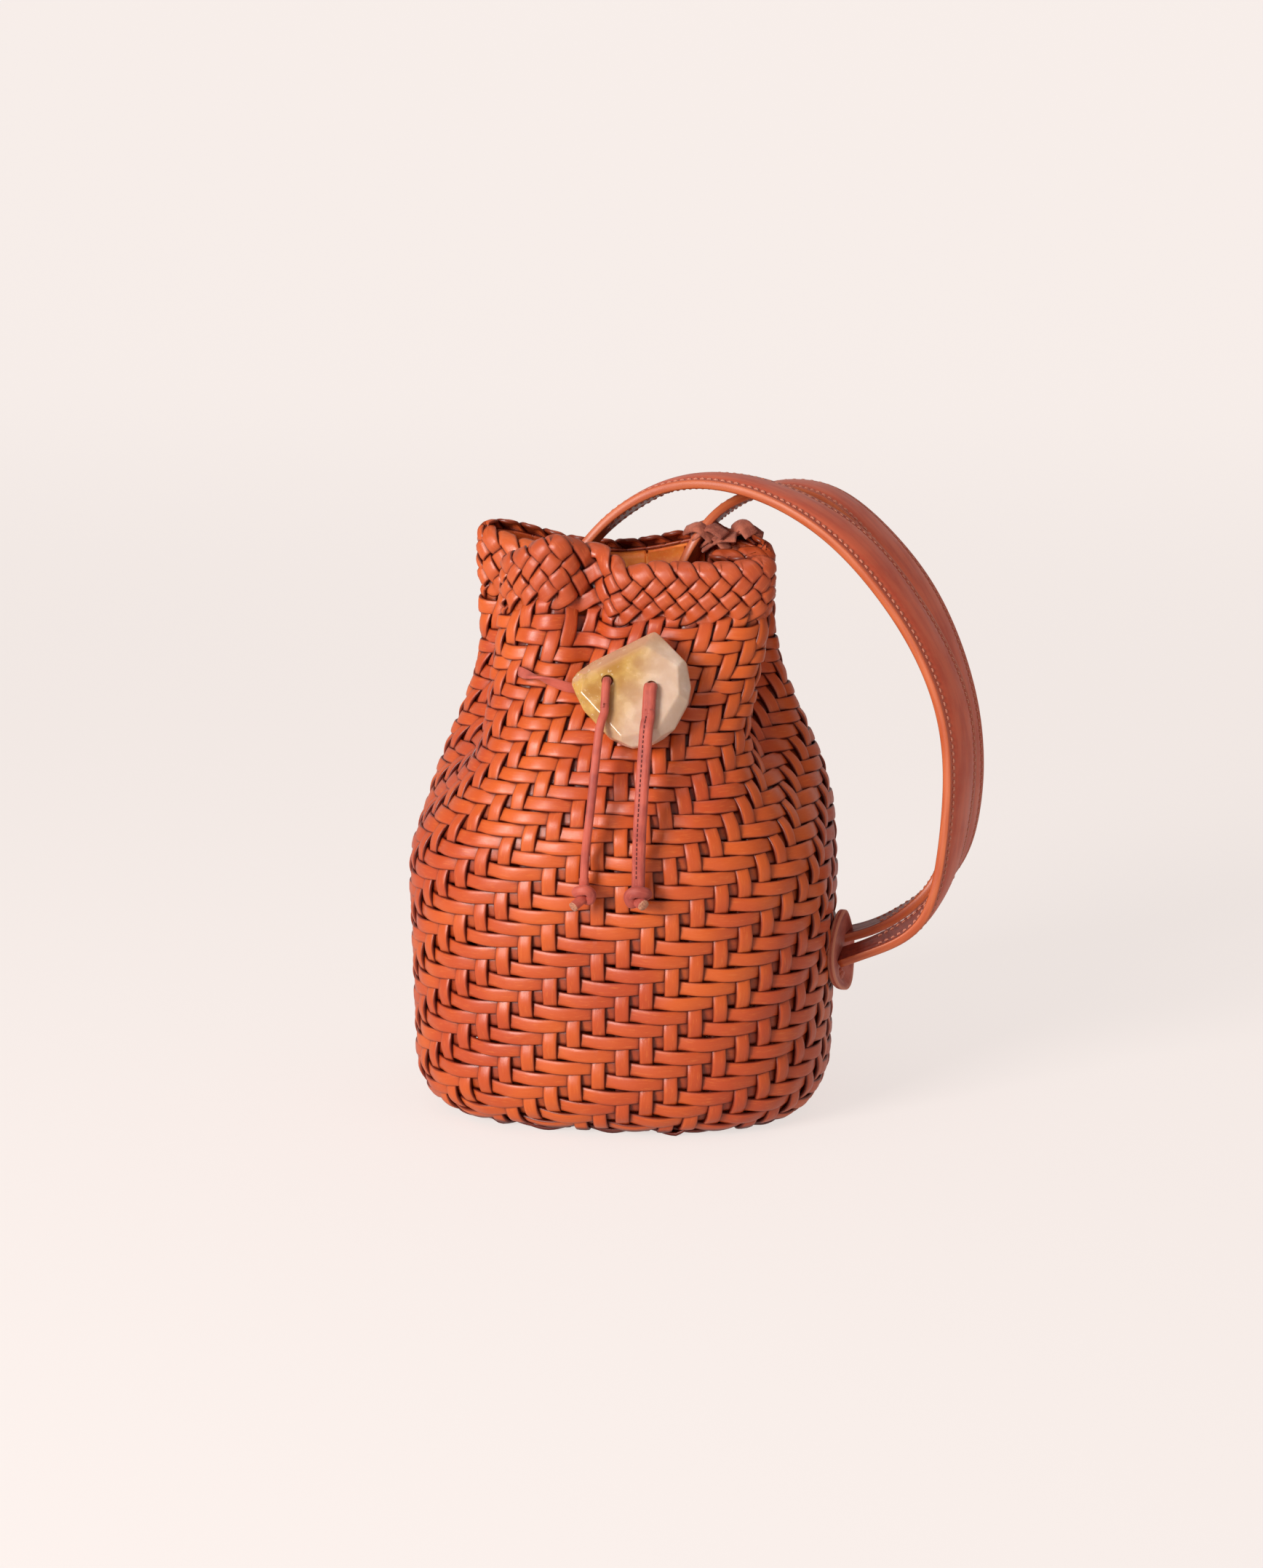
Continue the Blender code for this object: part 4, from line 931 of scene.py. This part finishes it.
def make_strap(side):
    middles, lean, normal, width, held = strap_line(side)
    profiles = np.array([strap_profile(w) for w in width])
    rings = middles[:, None] + lean[:, None] * profiles[..., :1] + normal[:, None] * profiles[..., 1:2]
    run = run_along(middles)
    strips = Strips()
    strips.add(rings, profiles[len(profiles) // 2, :, 2], held, run, RANDOM.random(), False)
    strap = strips.build(side + "_strap", STRAP_LEATHER)
    hold_ends(strap)
    parts = ("outer", "lining", "padding", "thread_near", "thread_far", "upper_end", "lower_end")
    settle(strap, None, "strap", *[f"{side}_strap_{part}" for part in parts])
    thread = Strips()
    start = run[SEAT_STATIONS] + STITCH_START
    stop = run[-3] - STITCH_START
    for middle_run in np.arange(start, stop, STITCH_PITCH):
        place = middle_run + STITCH_LENGTH / 2 * np.array([-1.0, -0.8, -0.3, 0.3, 0.8, 1.0])
        wide = np.interp(place, run, width)
        sewn = wide / 2 - np.minimum(STITCH_INSET, 0.27 * wide)
        centre_line, up, beside = (interpolate(place, run, values) for values in (middles, normal, lean))
        for edge, face in ((1, 1), (-1, 1), (1, -1), (-1, -1)):
            high = STRAP_HALF_THICK - 0.00024 + STITCH_RADIUS * np.array([-1.1, 0.1, 0.55, 0.55, 0.1, -1.1])
            centre = centre_line + beside * (edge * sewn)[:, None] + up * (face * high)[:, None]
            size = STITCH_RADIUS * np.array([0.55, 0.9, 1.0, 1.0, 0.9, 0.55])
            ring = round_profile(1.0, 1.0, 8)
            profile = ring[None] * size[:, None, None]
            sweep(thread, centre, beside, up, profile, 0.0, RANDOM.random())
    sewing = thread.build(side + "_strap_stitches", THREAD)
    hold_ends(sewing)


# --- the stone toggle ---

STONE_CENTRE = (0.0118, -0.0546, 0.2003)
STONE_TILT = math.radians(-24.0)
STONE_THICKNESS = 0.0125
STONE_OUTLINE = (
    (0.0089, 0.0262), (0.0238, 0.0115), (0.0262, 0.0010), (0.0254, -0.0062), (0.0203, -0.0177),
    (0.0108, -0.0249), (0.0023, -0.0266), (-0.0079, -0.0226), (-0.0200, -0.0108), (-0.0272, 0.0026),
    (-0.0174, 0.0118), (-0.0028, 0.0226),
)
HOLES = {"left": (-0.0096, 0.0016), "right": (0.0097, -0.0005)}
HOLE_RADIUS = 0.0026
DRILL_LENGTH = 0.03
# Ground facets: a point on each (across, in from the front face, up) and the way it faces
FACETS = (
    ((-0.0085, 0.0, 0.0100), (-0.52, -1.0, 0.95)),
    ((0.0100, 0.0, 0.0150), (0.36, -1.0, 0.62)),
    ((0.0212, 0.0, 0.0030), (1.0, -0.85, 0.10)),
    ((0.0190, 0.0, -0.0090), (0.95, -1.0, -0.50)),
    ((0.0080, 0.0, -0.0205), (0.25, -1.0, -0.95)),
    ((-0.0130, 0.0, -0.0120), (-0.72, -1.0, -0.72)),
    ((-0.0205, 0.0, 0.0015), (-0.95, -0.9, 0.10)),
)
STONE_BEVEL = 0.0013
HOLE_BEVEL = 0.0004


def stone_frame():
    return Matrix.Translation(STONE_CENTRE) @ Matrix.Rotation(STONE_TILT, 4, "X")


def add_bevel(obj, width, segments, sharper_than):
    bevel = obj.modifiers.new("bevel", "BEVEL")
    bevel.width = width
    bevel.segments = segments
    bevel.limit_method = "ANGLE"
    bevel.angle_limit = math.radians(sharper_than)


def make_stone():
    """A tumbled stone: its outline, ground facets, softened edges and two drilled holes."""
    shape = bmesh.new()
    loop = [shape.verts.new((x, STONE_THICKNESS / 2, z)) for x, z in STONE_OUTLINE]
    pushed = bmesh.ops.extrude_face_region(shape, geom=[shape.faces.new(loop)])
    moved = [item for item in pushed["geom"] if isinstance(item, bmesh.types.BMVert)]
    bmesh.ops.translate(shape, verts=moved, vec=(0.0, -STONE_THICKNESS, 0.0))
    bmesh.ops.recalc_face_normals(shape, faces=shape.faces)
    for side in (-1, 1):
        for (x, _, z), way in FACETS:
            geometry = shape.verts[:] + shape.edges[:] + shape.faces[:]
            at = (x, side * STONE_THICKNESS / 2, z)
            facing = Vector((way[0], -side * way[1], way[2]))
            cut = bmesh.ops.bisect_plane(shape, geom=geometry, plane_co=at, plane_no=facing, clear_outer=True)
            edges = [item for item in cut["geom_cut"] if isinstance(item, bmesh.types.BMEdge)]
            if edges:
                bmesh.ops.contextual_create(shape, geom=edges)
    bmesh.ops.dissolve_degenerate(shape, dist=0.0002, edges=shape.edges)
    bmesh.ops.recalc_face_normals(shape, faces=shape.faces)
    mesh = bpy.data.meshes.new("stone")
    shape.to_mesh(mesh)
    shape.free()
    stone = add_object("stone", mesh)
    add_bevel(stone, STONE_BEVEL, 4, 6.0)
    cutters = []
    for hole in HOLES.values():
        drill_shape = bmesh.new()
        place = Matrix.Translation((hole[0], 0.0, hole[1])) @ Matrix.Rotation(math.pi / 2, 4, "X")
        size = {"radius1": HOLE_RADIUS, "radius2": HOLE_RADIUS, "depth": DRILL_LENGTH}
        bmesh.ops.create_cone(drill_shape, cap_ends=True, segments=40, matrix=place, **size)
        drill = add_object("drill", bpy.data.meshes.new("drill"))
        drill_shape.to_mesh(drill.data)
        drill_shape.free()
        boolean = stone.modifiers.new("drill", "BOOLEAN")
        boolean.object = drill
        cutters.append(drill)
    add_bevel(stone, HOLE_BEVEL, 2, 60.0)
    bpy.context.view_layer.update()
    done = bpy.data.meshes.new_from_object(stone.evaluated_get(bpy.context.evaluated_depsgraph_get()))
    for cutter in cutters:
        bpy.data.objects.remove(cutter, do_unlink=True)
    stone.modifiers.clear()
    stone.data = done
    stone.data.transform(stone_frame())
    done.materials.clear()
    done.materials.append(QUARTZ)
    done.shade_smooth()
    done.set_sharp_from_angle(angle=math.radians(38.0))
    settle(stone, "toggle", "stone", "stone_toggle")


# --- cords and knots ---

CORD_POINTS = 20
BEND_STEPS = 40
TAIL_STEPS = 70
BELLY_Y = -0.0815
BELLY_Z = 0.150
KNOT_Z = 0.1150
TAIL_CLEARANCE = 0.0008
BEND_DROP = 0.0050
# Half the width and half the thickness of each hanging cord, and where its knot hangs
TAILS = {
    "left": (0.00185, 0.00165, -0.0046),
    "right": (0.00290, 0.00185, 0.0192),
}
# Each knot's size against its line below, and its cord's width against the hanging cord's
KNOT_SIZES = {"left": (1.22, 1.18), "right": (1.0, 0.86)}
KNOT_STEPS = 110
KNOT_FATTER = 1.05
SEAM_AT = 0.28
SEAM_GROOVE = 0.00045
SEAM_START, SEAM_STOP = 0.003, 0.0052
SEAM_PITCH = 0.0021
SEAM_STATIONS = 600
LEAD_WIDTH, LEAD_THICKNESS = 0.0043, 0.0013
LEAD_STEPS = 80
LEAD_TWIST, LEAD_START_TURN = math.radians(200.0), math.radians(25.0)
# Middle line of each knot from the cord coming down to its cut end, in millimetres from the knot's middle
KNOTS = {
    "left": (
        (0.0, 0.3, 5.0), (0.1, 0.5, 2.2), (0.2, 0.9, -0.6), (0.9, 0.6, -2.6), (2.4, -0.5, -2.2),
        (2.9, -1.4, 0.0), (1.4, -2.5, 1.5), (-0.9, -2.3, 1.2), (-2.4, -0.8, 0.4), (-1.8, 1.0, -0.6),
        (0.2, 0.9, -1.6), (-0.5, -1.4, -2.2), (-1.9, -2.9, -3.3), (-3.2, -5.0, -4.4),
    ),
    "right": (
        (0.0, 0.3, 5.2), (0.0, 0.5, 2.4), (-0.2, 1.0, -0.4), (-1.2, 0.6, -3.0), (-2.8, -0.9, -3.4),
        (-3.7, -1.5, -0.8), (-2.2, -2.7, 1.3), (0.6, -3.0, 1.9), (3.3, -1.8, 1.2), (3.4, 0.6, 0.0),
        (1.2, 1.5, -1.0), (-0.3, 0.2, -2.2), (0.6, -1.6, -2.9), (2.2, -3.2, -3.3), (3.2, -5.0, -3.6),
    ),
}
MM = 0.001


def cord_profile(side):
    wide, thick, _ = TAILS[side]
    return round_profile(wide, thick, CORD_POINTS, SEAM_GROOVE if side == "right" else 0.0, SEAM_AT)


def cord_lines(side):
    """The middle lines of the bend over the hole's lip and of the tail down to the knot."""
    place = stone_frame()
    wide, thick, knot_x = TAILS[side]
    hole = HOLES[side]
    out = STONE_THICKNESS / 2 + thick + TAIL_CLEARANCE
    drop_in = Vector((0.0, 0.0, -0.0012))
    inner = [Vector((hole[0], -reach, hole[1])) + drop_in * share for reach, share in ((0.0005, 0.0), (0.0052, 0.3))]
    lip = [Vector((hole[0], -out + 0.0009, hole[1] - 0.0004)), Vector((hole[0], -out, hole[1] - BEND_DROP + 0.002))]
    down = Vector((0.0, 0.0, -1.0))
    pivot = Vector((hole[0], -out, hole[1] - BEND_DROP))
    top = place @ pivot
    shift = (knot_x - top.x) * 0.25
    over = Vector((hole[0] + shift, -out, STONE_OUTLINE[6][1] + 0.004))
    end = Vector((knot_x, BELLY_Y, KNOT_Z + 0.0045))
    belly = Vector((0.42 * top.x + 0.58 * knot_x, BELLY_Y - 0.0002, BELLY_Z))
    bend = [place @ p for p in (*inner, *lip, pivot + down * 0.004, pivot + down * 0.008)]
    tail = [place @ (pivot + down * 0.006), place @ (pivot + down * 0.010), place @ over, belly]
    tail += [end + Vector(((top.x - knot_x) * 0.10, 0.0, 0.012)), end + Vector((0.0, 0.0, -0.002))]
    return bend, tail, top


def make_cord_piece(name, path, face, profile, steps, material, cut_end=False):
    strips = Strips()
    line, _ = smooth_path(path, steps)
    side, out = frames(line, face)
    profiles = np.repeat(profile[None], steps, axis=0)
    wave = np.zeros(steps)
    if cut_end:
        profiles[-1] *= 0.35
        wave[-2:] = 1.0
        line[-1] = line[-2] - 0.00025 * unit(line[-2] - line[-3])
        line[-2] = line[-3] + 0.00005 * unit(line[-2] - line[-3])
    sweep(strips, line, side, out, profiles, wave, RANDOM.random())
    return strips.build(name, material)


def make_tail(side):
    bend, tail, top = cord_lines(side)
    profile = cord_profile(side)
    face = stone_frame().to_3x3() @ Vector((0.0, -1.0, 0.0))
    piece = make_cord_piece(side + "_bend_cord", bend, face, profile, BEND_STEPS, CORD)
    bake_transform(piece)
    settle(piece, None, "cord", side + "_cord_bend")
    pieces = [make_cord_piece(side + "_hanging_cord", tail, face, profile, TAIL_STEPS, CORD)]
    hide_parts(side + "_cord_tail")
    if side == "right":
        pieces.append(make_seam(tail, face, profile))
    for piece in pieces:
        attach(piece, side + "_tail")
        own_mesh(piece)
    middle = Vector((TAILS[side][2], BELLY_Y, KNOT_Z))
    size, fatter = KNOT_SIZES[side]
    path = [middle + Vector(point) * MM * size for point in KNOTS[side]]
    wide, thick, _ = TAILS[side]
    ring = round_profile(wide * fatter, thick * KNOT_FATTER * size, CORD_POINTS)
    knot = make_cord_piece(side + "_tied_knot", path, (0.12, -1.0, 0.2), ring, KNOT_STEPS, CORD, True)
    settle(knot, side + "_knot", "cord", side + "_knot")


def make_seam(tail, face, profile):
    """The dark stitching along the folded cord's seam."""
    line, length = smooth_path(tail, SEAM_STATIONS)
    side, out = frames(line, face)
    half_wide, half_thick, _ = TAILS["right"]
    seam = Strips()
    at = np.linspace(0.0, length, SEAM_STATIONS)
    for start in np.arange(SEAM_START, length - SEAM_STOP, SEAM_PITCH):
        place = start + np.array([0.0, 0.0003, 0.0011, 0.0014])
        index = np.searchsorted(at, place)
        height = half_thick - 0.00022 + np.array([-0.0002, 0.0, 0.0, -0.0002])
        centre = line[index] + side[index] * SEAM_AT * half_wide + out[index] * height[:, None]
        sweep(seam, centre, side[index], out[index], round_profile(0.00022, 0.00020, 6), 0.0, RANDOM.random())
    return seam.build("right_cord_seam", DARK_THREAD)


def make_lead():
    """The drawcord's left end: a strip that leaves the weave, twists once and goes behind the stone."""
    low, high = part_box("drawcord_left_lead")
    path = [
        (low.x, high.y, low.z + 0.006),
        (-0.0355, -0.0452, 0.2030), (-0.0290, -0.0500, 0.2026), (-0.0225, -0.0515, 0.2012),
        (-0.0150, -0.0510, 0.1990), (-0.0040, -0.0478, 0.1985),
        tuple(stone_frame() @ Vector((HOLES["left"][0], 0.004, HOLES["left"][1]))),
    ]
    line, _ = smooth_path(path, LEAD_STEPS)
    side, out = frames(line, (0.0, -1.0, 0.25))
    turn = LEAD_TWIST * smoothstep((0.15, 0.75), np.linspace(0.0, 1.0, LEAD_STEPS)) - LEAD_START_TURN
    turned = side * np.cos(turn)[:, None] + out * np.sin(turn)[:, None]
    outward = -side * np.sin(turn)[:, None] + out * np.cos(turn)[:, None]
    strips = Strips()
    sweep(strips, line, turned, outward, strip_profile(LEAD_WIDTH, LEAD_THICKNESS), 0.0, RANDOM.random())
    lead = strips.build("twisted_lead", CORD)
    settle(lead, "mouth_front", "cord", "drawcord_left_lead")


# --- the leaf tab ---

TAB_CENTRE = (0.0975, 0.0035, 0.0722)
TAB_TURN = math.radians(79.5)
TAB_HALF_WIDTH = 0.0172
TAB_HALF_HEIGHT = 0.0183
TAB_HALF_THICK = 0.0014
TAB_CUP = 0.0032
THONG_AT = (0.0005, -0.0118)
THONG_SIZE = 0.9
# The thong knot's middle line, in millimetres across, out and up from its place on the tab
THONG_KNOT = (
    (-2.2, 0.2, 0.8), (-0.6, 0.9, 2.0), (1.7, 0.7, 1.5), (2.1, 1.0, -0.8), (0.2, 0.7, -1.9),
    (-1.7, 1.1, -0.9), (-0.7, 1.7, 0.9), (1.0, 1.6, 0.2), (0.3, 0.2, -0.9),
)
DIMPLE_DEPTH = 0.0016
DIMPLE_SPREAD = (0.0036, 0.0042)
TAB_SPOKES = 72
TAB_RINGS = 16


def make_tab():
    """A thick leather leaf, dished, its edge rounded, dimpled where the thong ties it down."""
    place = Matrix.Translation(TAB_CENTRE) @ Matrix.Rotation(TAB_TURN, 4, "Z")
    share = np.concatenate([np.linspace(0.02, 0.97, TAB_RINGS), [0.995, 1.0]])
    shares = np.concatenate([share, share[::-1]])
    face = np.concatenate([np.ones(len(share) - 2), [0.8, 0.35], [-0.35, -0.8], -np.ones(len(share) - 2)])
    turn = np.linspace(0.0, 2 * math.pi, TAB_SPOKES, endpoint=False)
    up = np.cos(turn)
    narrow = 1.0 - 0.30 * np.clip(up, 0.0, 1.0) ** 1.5
    wavy = 1.0 + wobble(turn / (2 * math.pi), ((3, 0.015), (5, 0.012)))
    points, across, lift = [], [], []
    for r, f in zip(shares, face):
        x = TAB_HALF_WIDTH * np.sin(turn) * narrow * r * wavy
        z = TAB_HALF_HEIGHT * up * r * wavy
        cup = TAB_CUP * r**2.6 * (1.0 - 0.35 * up) * (0.75 + 0.25 * np.cos(2 * turn)) - 0.0006
        off = ((x - THONG_AT[0]) / DIMPLE_SPREAD[0]) ** 2 + ((z - THONG_AT[1]) / DIMPLE_SPREAD[1]) ** 2
        dimple = DIMPLE_DEPTH * np.exp(-off)
        thick = TAB_HALF_THICK * (1.0 + 0.25 * bump(r, 0.93, 0.08)) * f
        points.append(np.column_stack([x, -(cup - dimple + thick), z]))
        across.append(np.full(TAB_SPOKES, r * np.sign(f)))
        lift.append(dimple / DIMPLE_DEPTH)
    points = np.concatenate(points)
    matrix = np.array(place)
    points = points @ matrix[:3, :3].T + matrix[:3, 3]
    rings = len(shares)
    index = np.arange(rings * TAB_SPOKES).reshape(rings, TAB_SPOKES)
    ahead = np.roll(index, -1, axis=0)
    quads = np.stack([index, np.roll(index, -1, axis=1), np.roll(ahead, -1, axis=1), ahead], axis=-1).reshape(-1, 4)
    values = {"across": np.concatenate(across), "lift": np.concatenate(lift)}
    leaf = make_piece("leaf_tab", points, quads, TAB_LEATHER, values)
    shape = bmesh.new()
    shape.from_mesh(leaf.data)
    bmesh.ops.recalc_face_normals(shape, faces=shape.faces)
    shape.to_mesh(leaf.data)
    shape.free()
    settle(leaf, "bag", "tab", "lower_tab")
    path = []
    for x, out, z in THONG_KNOT:
        at = (THONG_AT[0] + x * MM * THONG_SIZE, -0.0002 - out * MM, THONG_AT[1] + z * MM * THONG_SIZE)
        path.append(place @ Vector(at))
    facing = place.to_3x3() @ Vector((0.0, -1.0, 0.0))
    knot = make_cord_piece("thong_knot", path, facing, round_profile(0.0011, 0.0008, 12), 60, TAB_LEATHER)
    settle(knot, "bag", "tab", "tab_thong")


# --- inside the rim ---

# The folded patch: from and to round the bag, from and to below the rim's top, and how far in
PATCH = ((0.425, 0.468, 0.0215, 0.0030, -0.0052), (0.468, 0.530, 0.0215, 0.0062, -0.0046))
PATCH_STEPS = 26
PATCH_THICKNESS = 0.0022
ROUGH_COUNT = 11
ROUGH_AT = (0.0405, 0.0212, 0.2560)
ROUGH_SPREAD = (0.0135, 0.0055, 0.0032)


def make_rim_trim():
    """The folded tan leather that shows over the front rim, and the rough strip ends by the far strap."""
    tan = Strips()
    flat = np.ones(PATCH_STEPS)
    for low, high, v_low, v_high, out in PATCH:
        u = np.linspace(low, high, PATCH_STEPS)
        v = flat * ((TOP_V - v_low + TOP_V - v_high) / 2)
        width = (v_low - v_high) * (1.0 + wobble(np.linspace(0, 1, PATCH_STEPS), ((2, 0.04), (5, 0.02))))
        add_ribbon(tan, u, v, flat * out, flat * 0.0, width, False, PATCH_THICKNESS)
    settle(tan.build("folded_patch", TAN_LEATHER), "bag", "tan")
    rough = Strips()
    for _ in range(ROUGH_COUNT):
        start = np.array(ROUGH_AT) + RANDOM.uniform(-1, 1, 3) * ROUGH_SPREAD
        way = unit(np.array([1.0, RANDOM.uniform(-0.5, 0.4), RANDOM.uniform(-0.35, 0.40)]))
        curl = np.array([0.0, RANDOM.uniform(-0.0025, 0.0010), RANDOM.uniform(0.0012, 0.0042)])
        length = RANDOM.uniform(0.010, 0.017)
        path = [start - way * length / 2 - curl * 0.3, start + curl * 0.8, start + way * length / 2 - curl * 0.5]
        line, _ = smooth_path(path, 18)
        side, out = frames(line, (RANDOM.uniform(-0.3, 0.4), RANDOM.uniform(-0.9, -0.3), 0.75))
        sweep(rough, line, side, out, strip_profile(RANDOM.uniform(0.0055, 0.0078), 0.0012), 0.2, RANDOM.random())
    settle(rough.build("rough_strip_ends", ROUGH_LEATHER), "bag", "woven")


# --- floor, light and camera ---

CAMERA_AT = (0.25863, -1.61184, 0.49299)
CAMERA_LOOKS_AT = (0.00326, 0.00052, 0.146)
LENS_MM = 85.0
SENSOR_MM = 36.0
FLOOR_FRONT = -16.0
FLOOR_BACK = 3.2
FLOOR_HALF_WIDTH = 16.0
BACKDROP_RADIUS = 1.6
BACKDROP_HEIGHT = 5.0
STUDIO_WHITE = rgb(249, 241, 237)
GLOW_START = 0.3
# How bright the floor and the world look to the camera, and how much light they give to the rest
FLOOR_GLOW = 0.775
BACKDROP_GLOW = 0.87
FLOOR_BOUNCE = 0.40
FLOOR_COLOUR = (0.27, 0.240, 0.228, 1.0)
WORLD_GLOW = 0.27
WORLD_SEEN = 0.93
# Each light's place, the point it faces, its size, power and colour
LIGHTS = {
    "key": ((-1.25, -1.9, 0.85), (0.0, 0.0, 0.12), (0.9, 0.9), 52.0, (1.0, 0.97, 0.95)),
    "top": ((0.1, -0.2, 2.0), (0.0, 0.0, 0.1), (1.6, 1.2), 5.0, (1.0, 0.98, 0.97)),
    "fill": ((1.6, -1.2, 0.8), (0.0, 0.0, 0.12), (1.2, 1.2), 0.6, (1.0, 0.96, 0.95)),
}


def make_floor():
    """A seamless studio sweep."""
    profile = [(FLOOR_FRONT, 0.0), (FLOOR_BACK, 0.0)]
    for turn in np.linspace(0.0, math.pi / 2, 12)[1:]:
        drop = BACKDROP_RADIUS * (1 - math.cos(turn))
        profile.append((FLOOR_BACK + BACKDROP_RADIUS * math.sin(turn), drop))
    profile.append((FLOOR_BACK + BACKDROP_RADIUS, BACKDROP_HEIGHT))
    points = [(x, y, z) for x in (-FLOOR_HALF_WIDTH, FLOOR_HALF_WIDTH) for y, z in profile]
    count = len(profile)
    quads = np.array([(k, k + count, k + count + 1, k + 1) for k in range(count - 1)])
    s = Shader("studio_floor")
    seen = s.node("LightPath").outputs["Is Camera Ray"]
    behind = s.node("SeparateXYZ", Vector=s.node("TexCoord").outputs["Object"]).outputs["Y"]
    shown = s.ramp(behind, GLOW_START, FLOOR_BACK, FLOOR_GLOW, BACKDROP_GLOW)
    glow = s.node("Emission", Color=STUDIO_WHITE, Strength=s.ramp(seen, 0.0, 1.0, FLOOR_BOUNCE, shown))
    plain = s.node("BsdfDiffuse", Color=FLOOR_COLOUR)
    both = s.node("AddShader", i0=glow.outputs[0], i1=plain.outputs[0])
    s.tree.links.new(both.outputs[0], s.tree.nodes["Material Output"].inputs["Surface"])
    make_piece("studio_floor", np.array(points), quads, s.material)


def place_object(name, data, at, aim):
    obj = add_object(name, data)
    obj.location = at
    obj.rotation_euler = (Vector(aim) - Vector(at)).to_track_quat("-Z", "Y").to_euler()
    return obj


def make_stage():
    make_floor()
    world = bpy.data.worlds.new("studio")
    bpy.context.scene.world = world
    world.use_nodes = True
    tree = world.node_tree
    backdrop = tree.nodes["Background"]
    backdrop.inputs["Color"].default_value = STUDIO_WHITE
    seen = tree.nodes.new("ShaderNodeLightPath").outputs["Is Camera Ray"]
    strength = tree.nodes.new("ShaderNodeMapRange")
    strength.inputs["To Min"].default_value = WORLD_GLOW
    strength.inputs["To Max"].default_value = WORLD_SEEN
    tree.links.new(seen, strength.inputs["Value"])
    tree.links.new(strength.outputs["Result"], backdrop.inputs["Strength"])
    for name, (at, aim, size, power, colour) in LIGHTS.items():
        light = bpy.data.lights.new(name, "AREA")
        light.shape = "RECTANGLE"
        light.size, light.size_y = size
        light.energy = power
        light.color = colour
        place_object(name, light, at, aim)
    camera = bpy.data.cameras.new("camera")
    camera.lens = LENS_MM
    camera.sensor_fit = "VERTICAL"
    camera.sensor_height = SENSOR_MM
    camera.clip_end = 50.0
    bpy.context.scene.camera = place_object("camera", camera, CAMERA_AT, CAMERA_LOOKS_AT)
    bpy.context.scene.view_settings.view_transform = "Standard"


# --- putting the woven bag together ---


HINGE = JOINTS["mouth_open"]["pos_m"]
HINGE_BLEND = 0.012
HINGE_ROW = int((v_at(HINGE[2] - HINGE_BLEND) - FIRST_WEFT) / WEFT_PITCH)


def blend_front(obj):
    """Bakes the piece's placement into its mesh and reads its points without changing them."""
    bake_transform(obj)
    co = np.zeros(len(obj.data.vertices) * 3)
    obj.data.vertices.foreach_get("co", co)
    co = co.reshape(-1, 3)


def make_weave():
    low, high, front, back, rim, base = (Strips() for _ in range(6))
    for row in range(WEFTS):
        add_weft(low if row < HINGE_ROW else high, row)
    for warp in range(WARPS):
        away = (warp / WARPS + 0.5) % 1.0 - 0.5
        add_warp(front if abs(away) <= 0.25 else back, warp)
    for strand in range(BRAID_STRANDS):
        add_braid_strand(rim, strand)
    add_base(base)
    for strips, name, body, nodes in (
        (low, "body_wefts", "bag", ["woven_body"]),
        (high, "neck_wefts", None, ["neck_front", "neck_back"]),
        (front, "front_warps", None, []),
        (back, "back_warps", "bag", []),
        (base, "woven_base", "bag", []),
        (rim, "braided_rim", None, ["rim_front", "rim_back"]),
    ):
        piece = strips.build(name, BRAID_LEATHER if strips is rim else COGNAC)
        if body is None:
            blend_front(piece)
        settle(piece, body, "rim" if strips is rim else "woven", *nodes)


# What the nodes that stay wear
KEPT = {
    "drawcord_back": CORD,
    "drawcord_right_lead": CORD,
    "back_patch": TAN_LEATHER,
}

make_weave()
for strap_side in STRAPS:
    make_strap(strap_side)
make_stone()
for tail_side in TAILS:
    make_tail(tail_side)
make_lead()
make_tab()
make_rim_trim()
for node_name, material in KEPT.items():
    node_mesh = frame["nodes"][node_name].data
    node_mesh.materials.clear()
    node_mesh.materials.append(material)
make_stage()
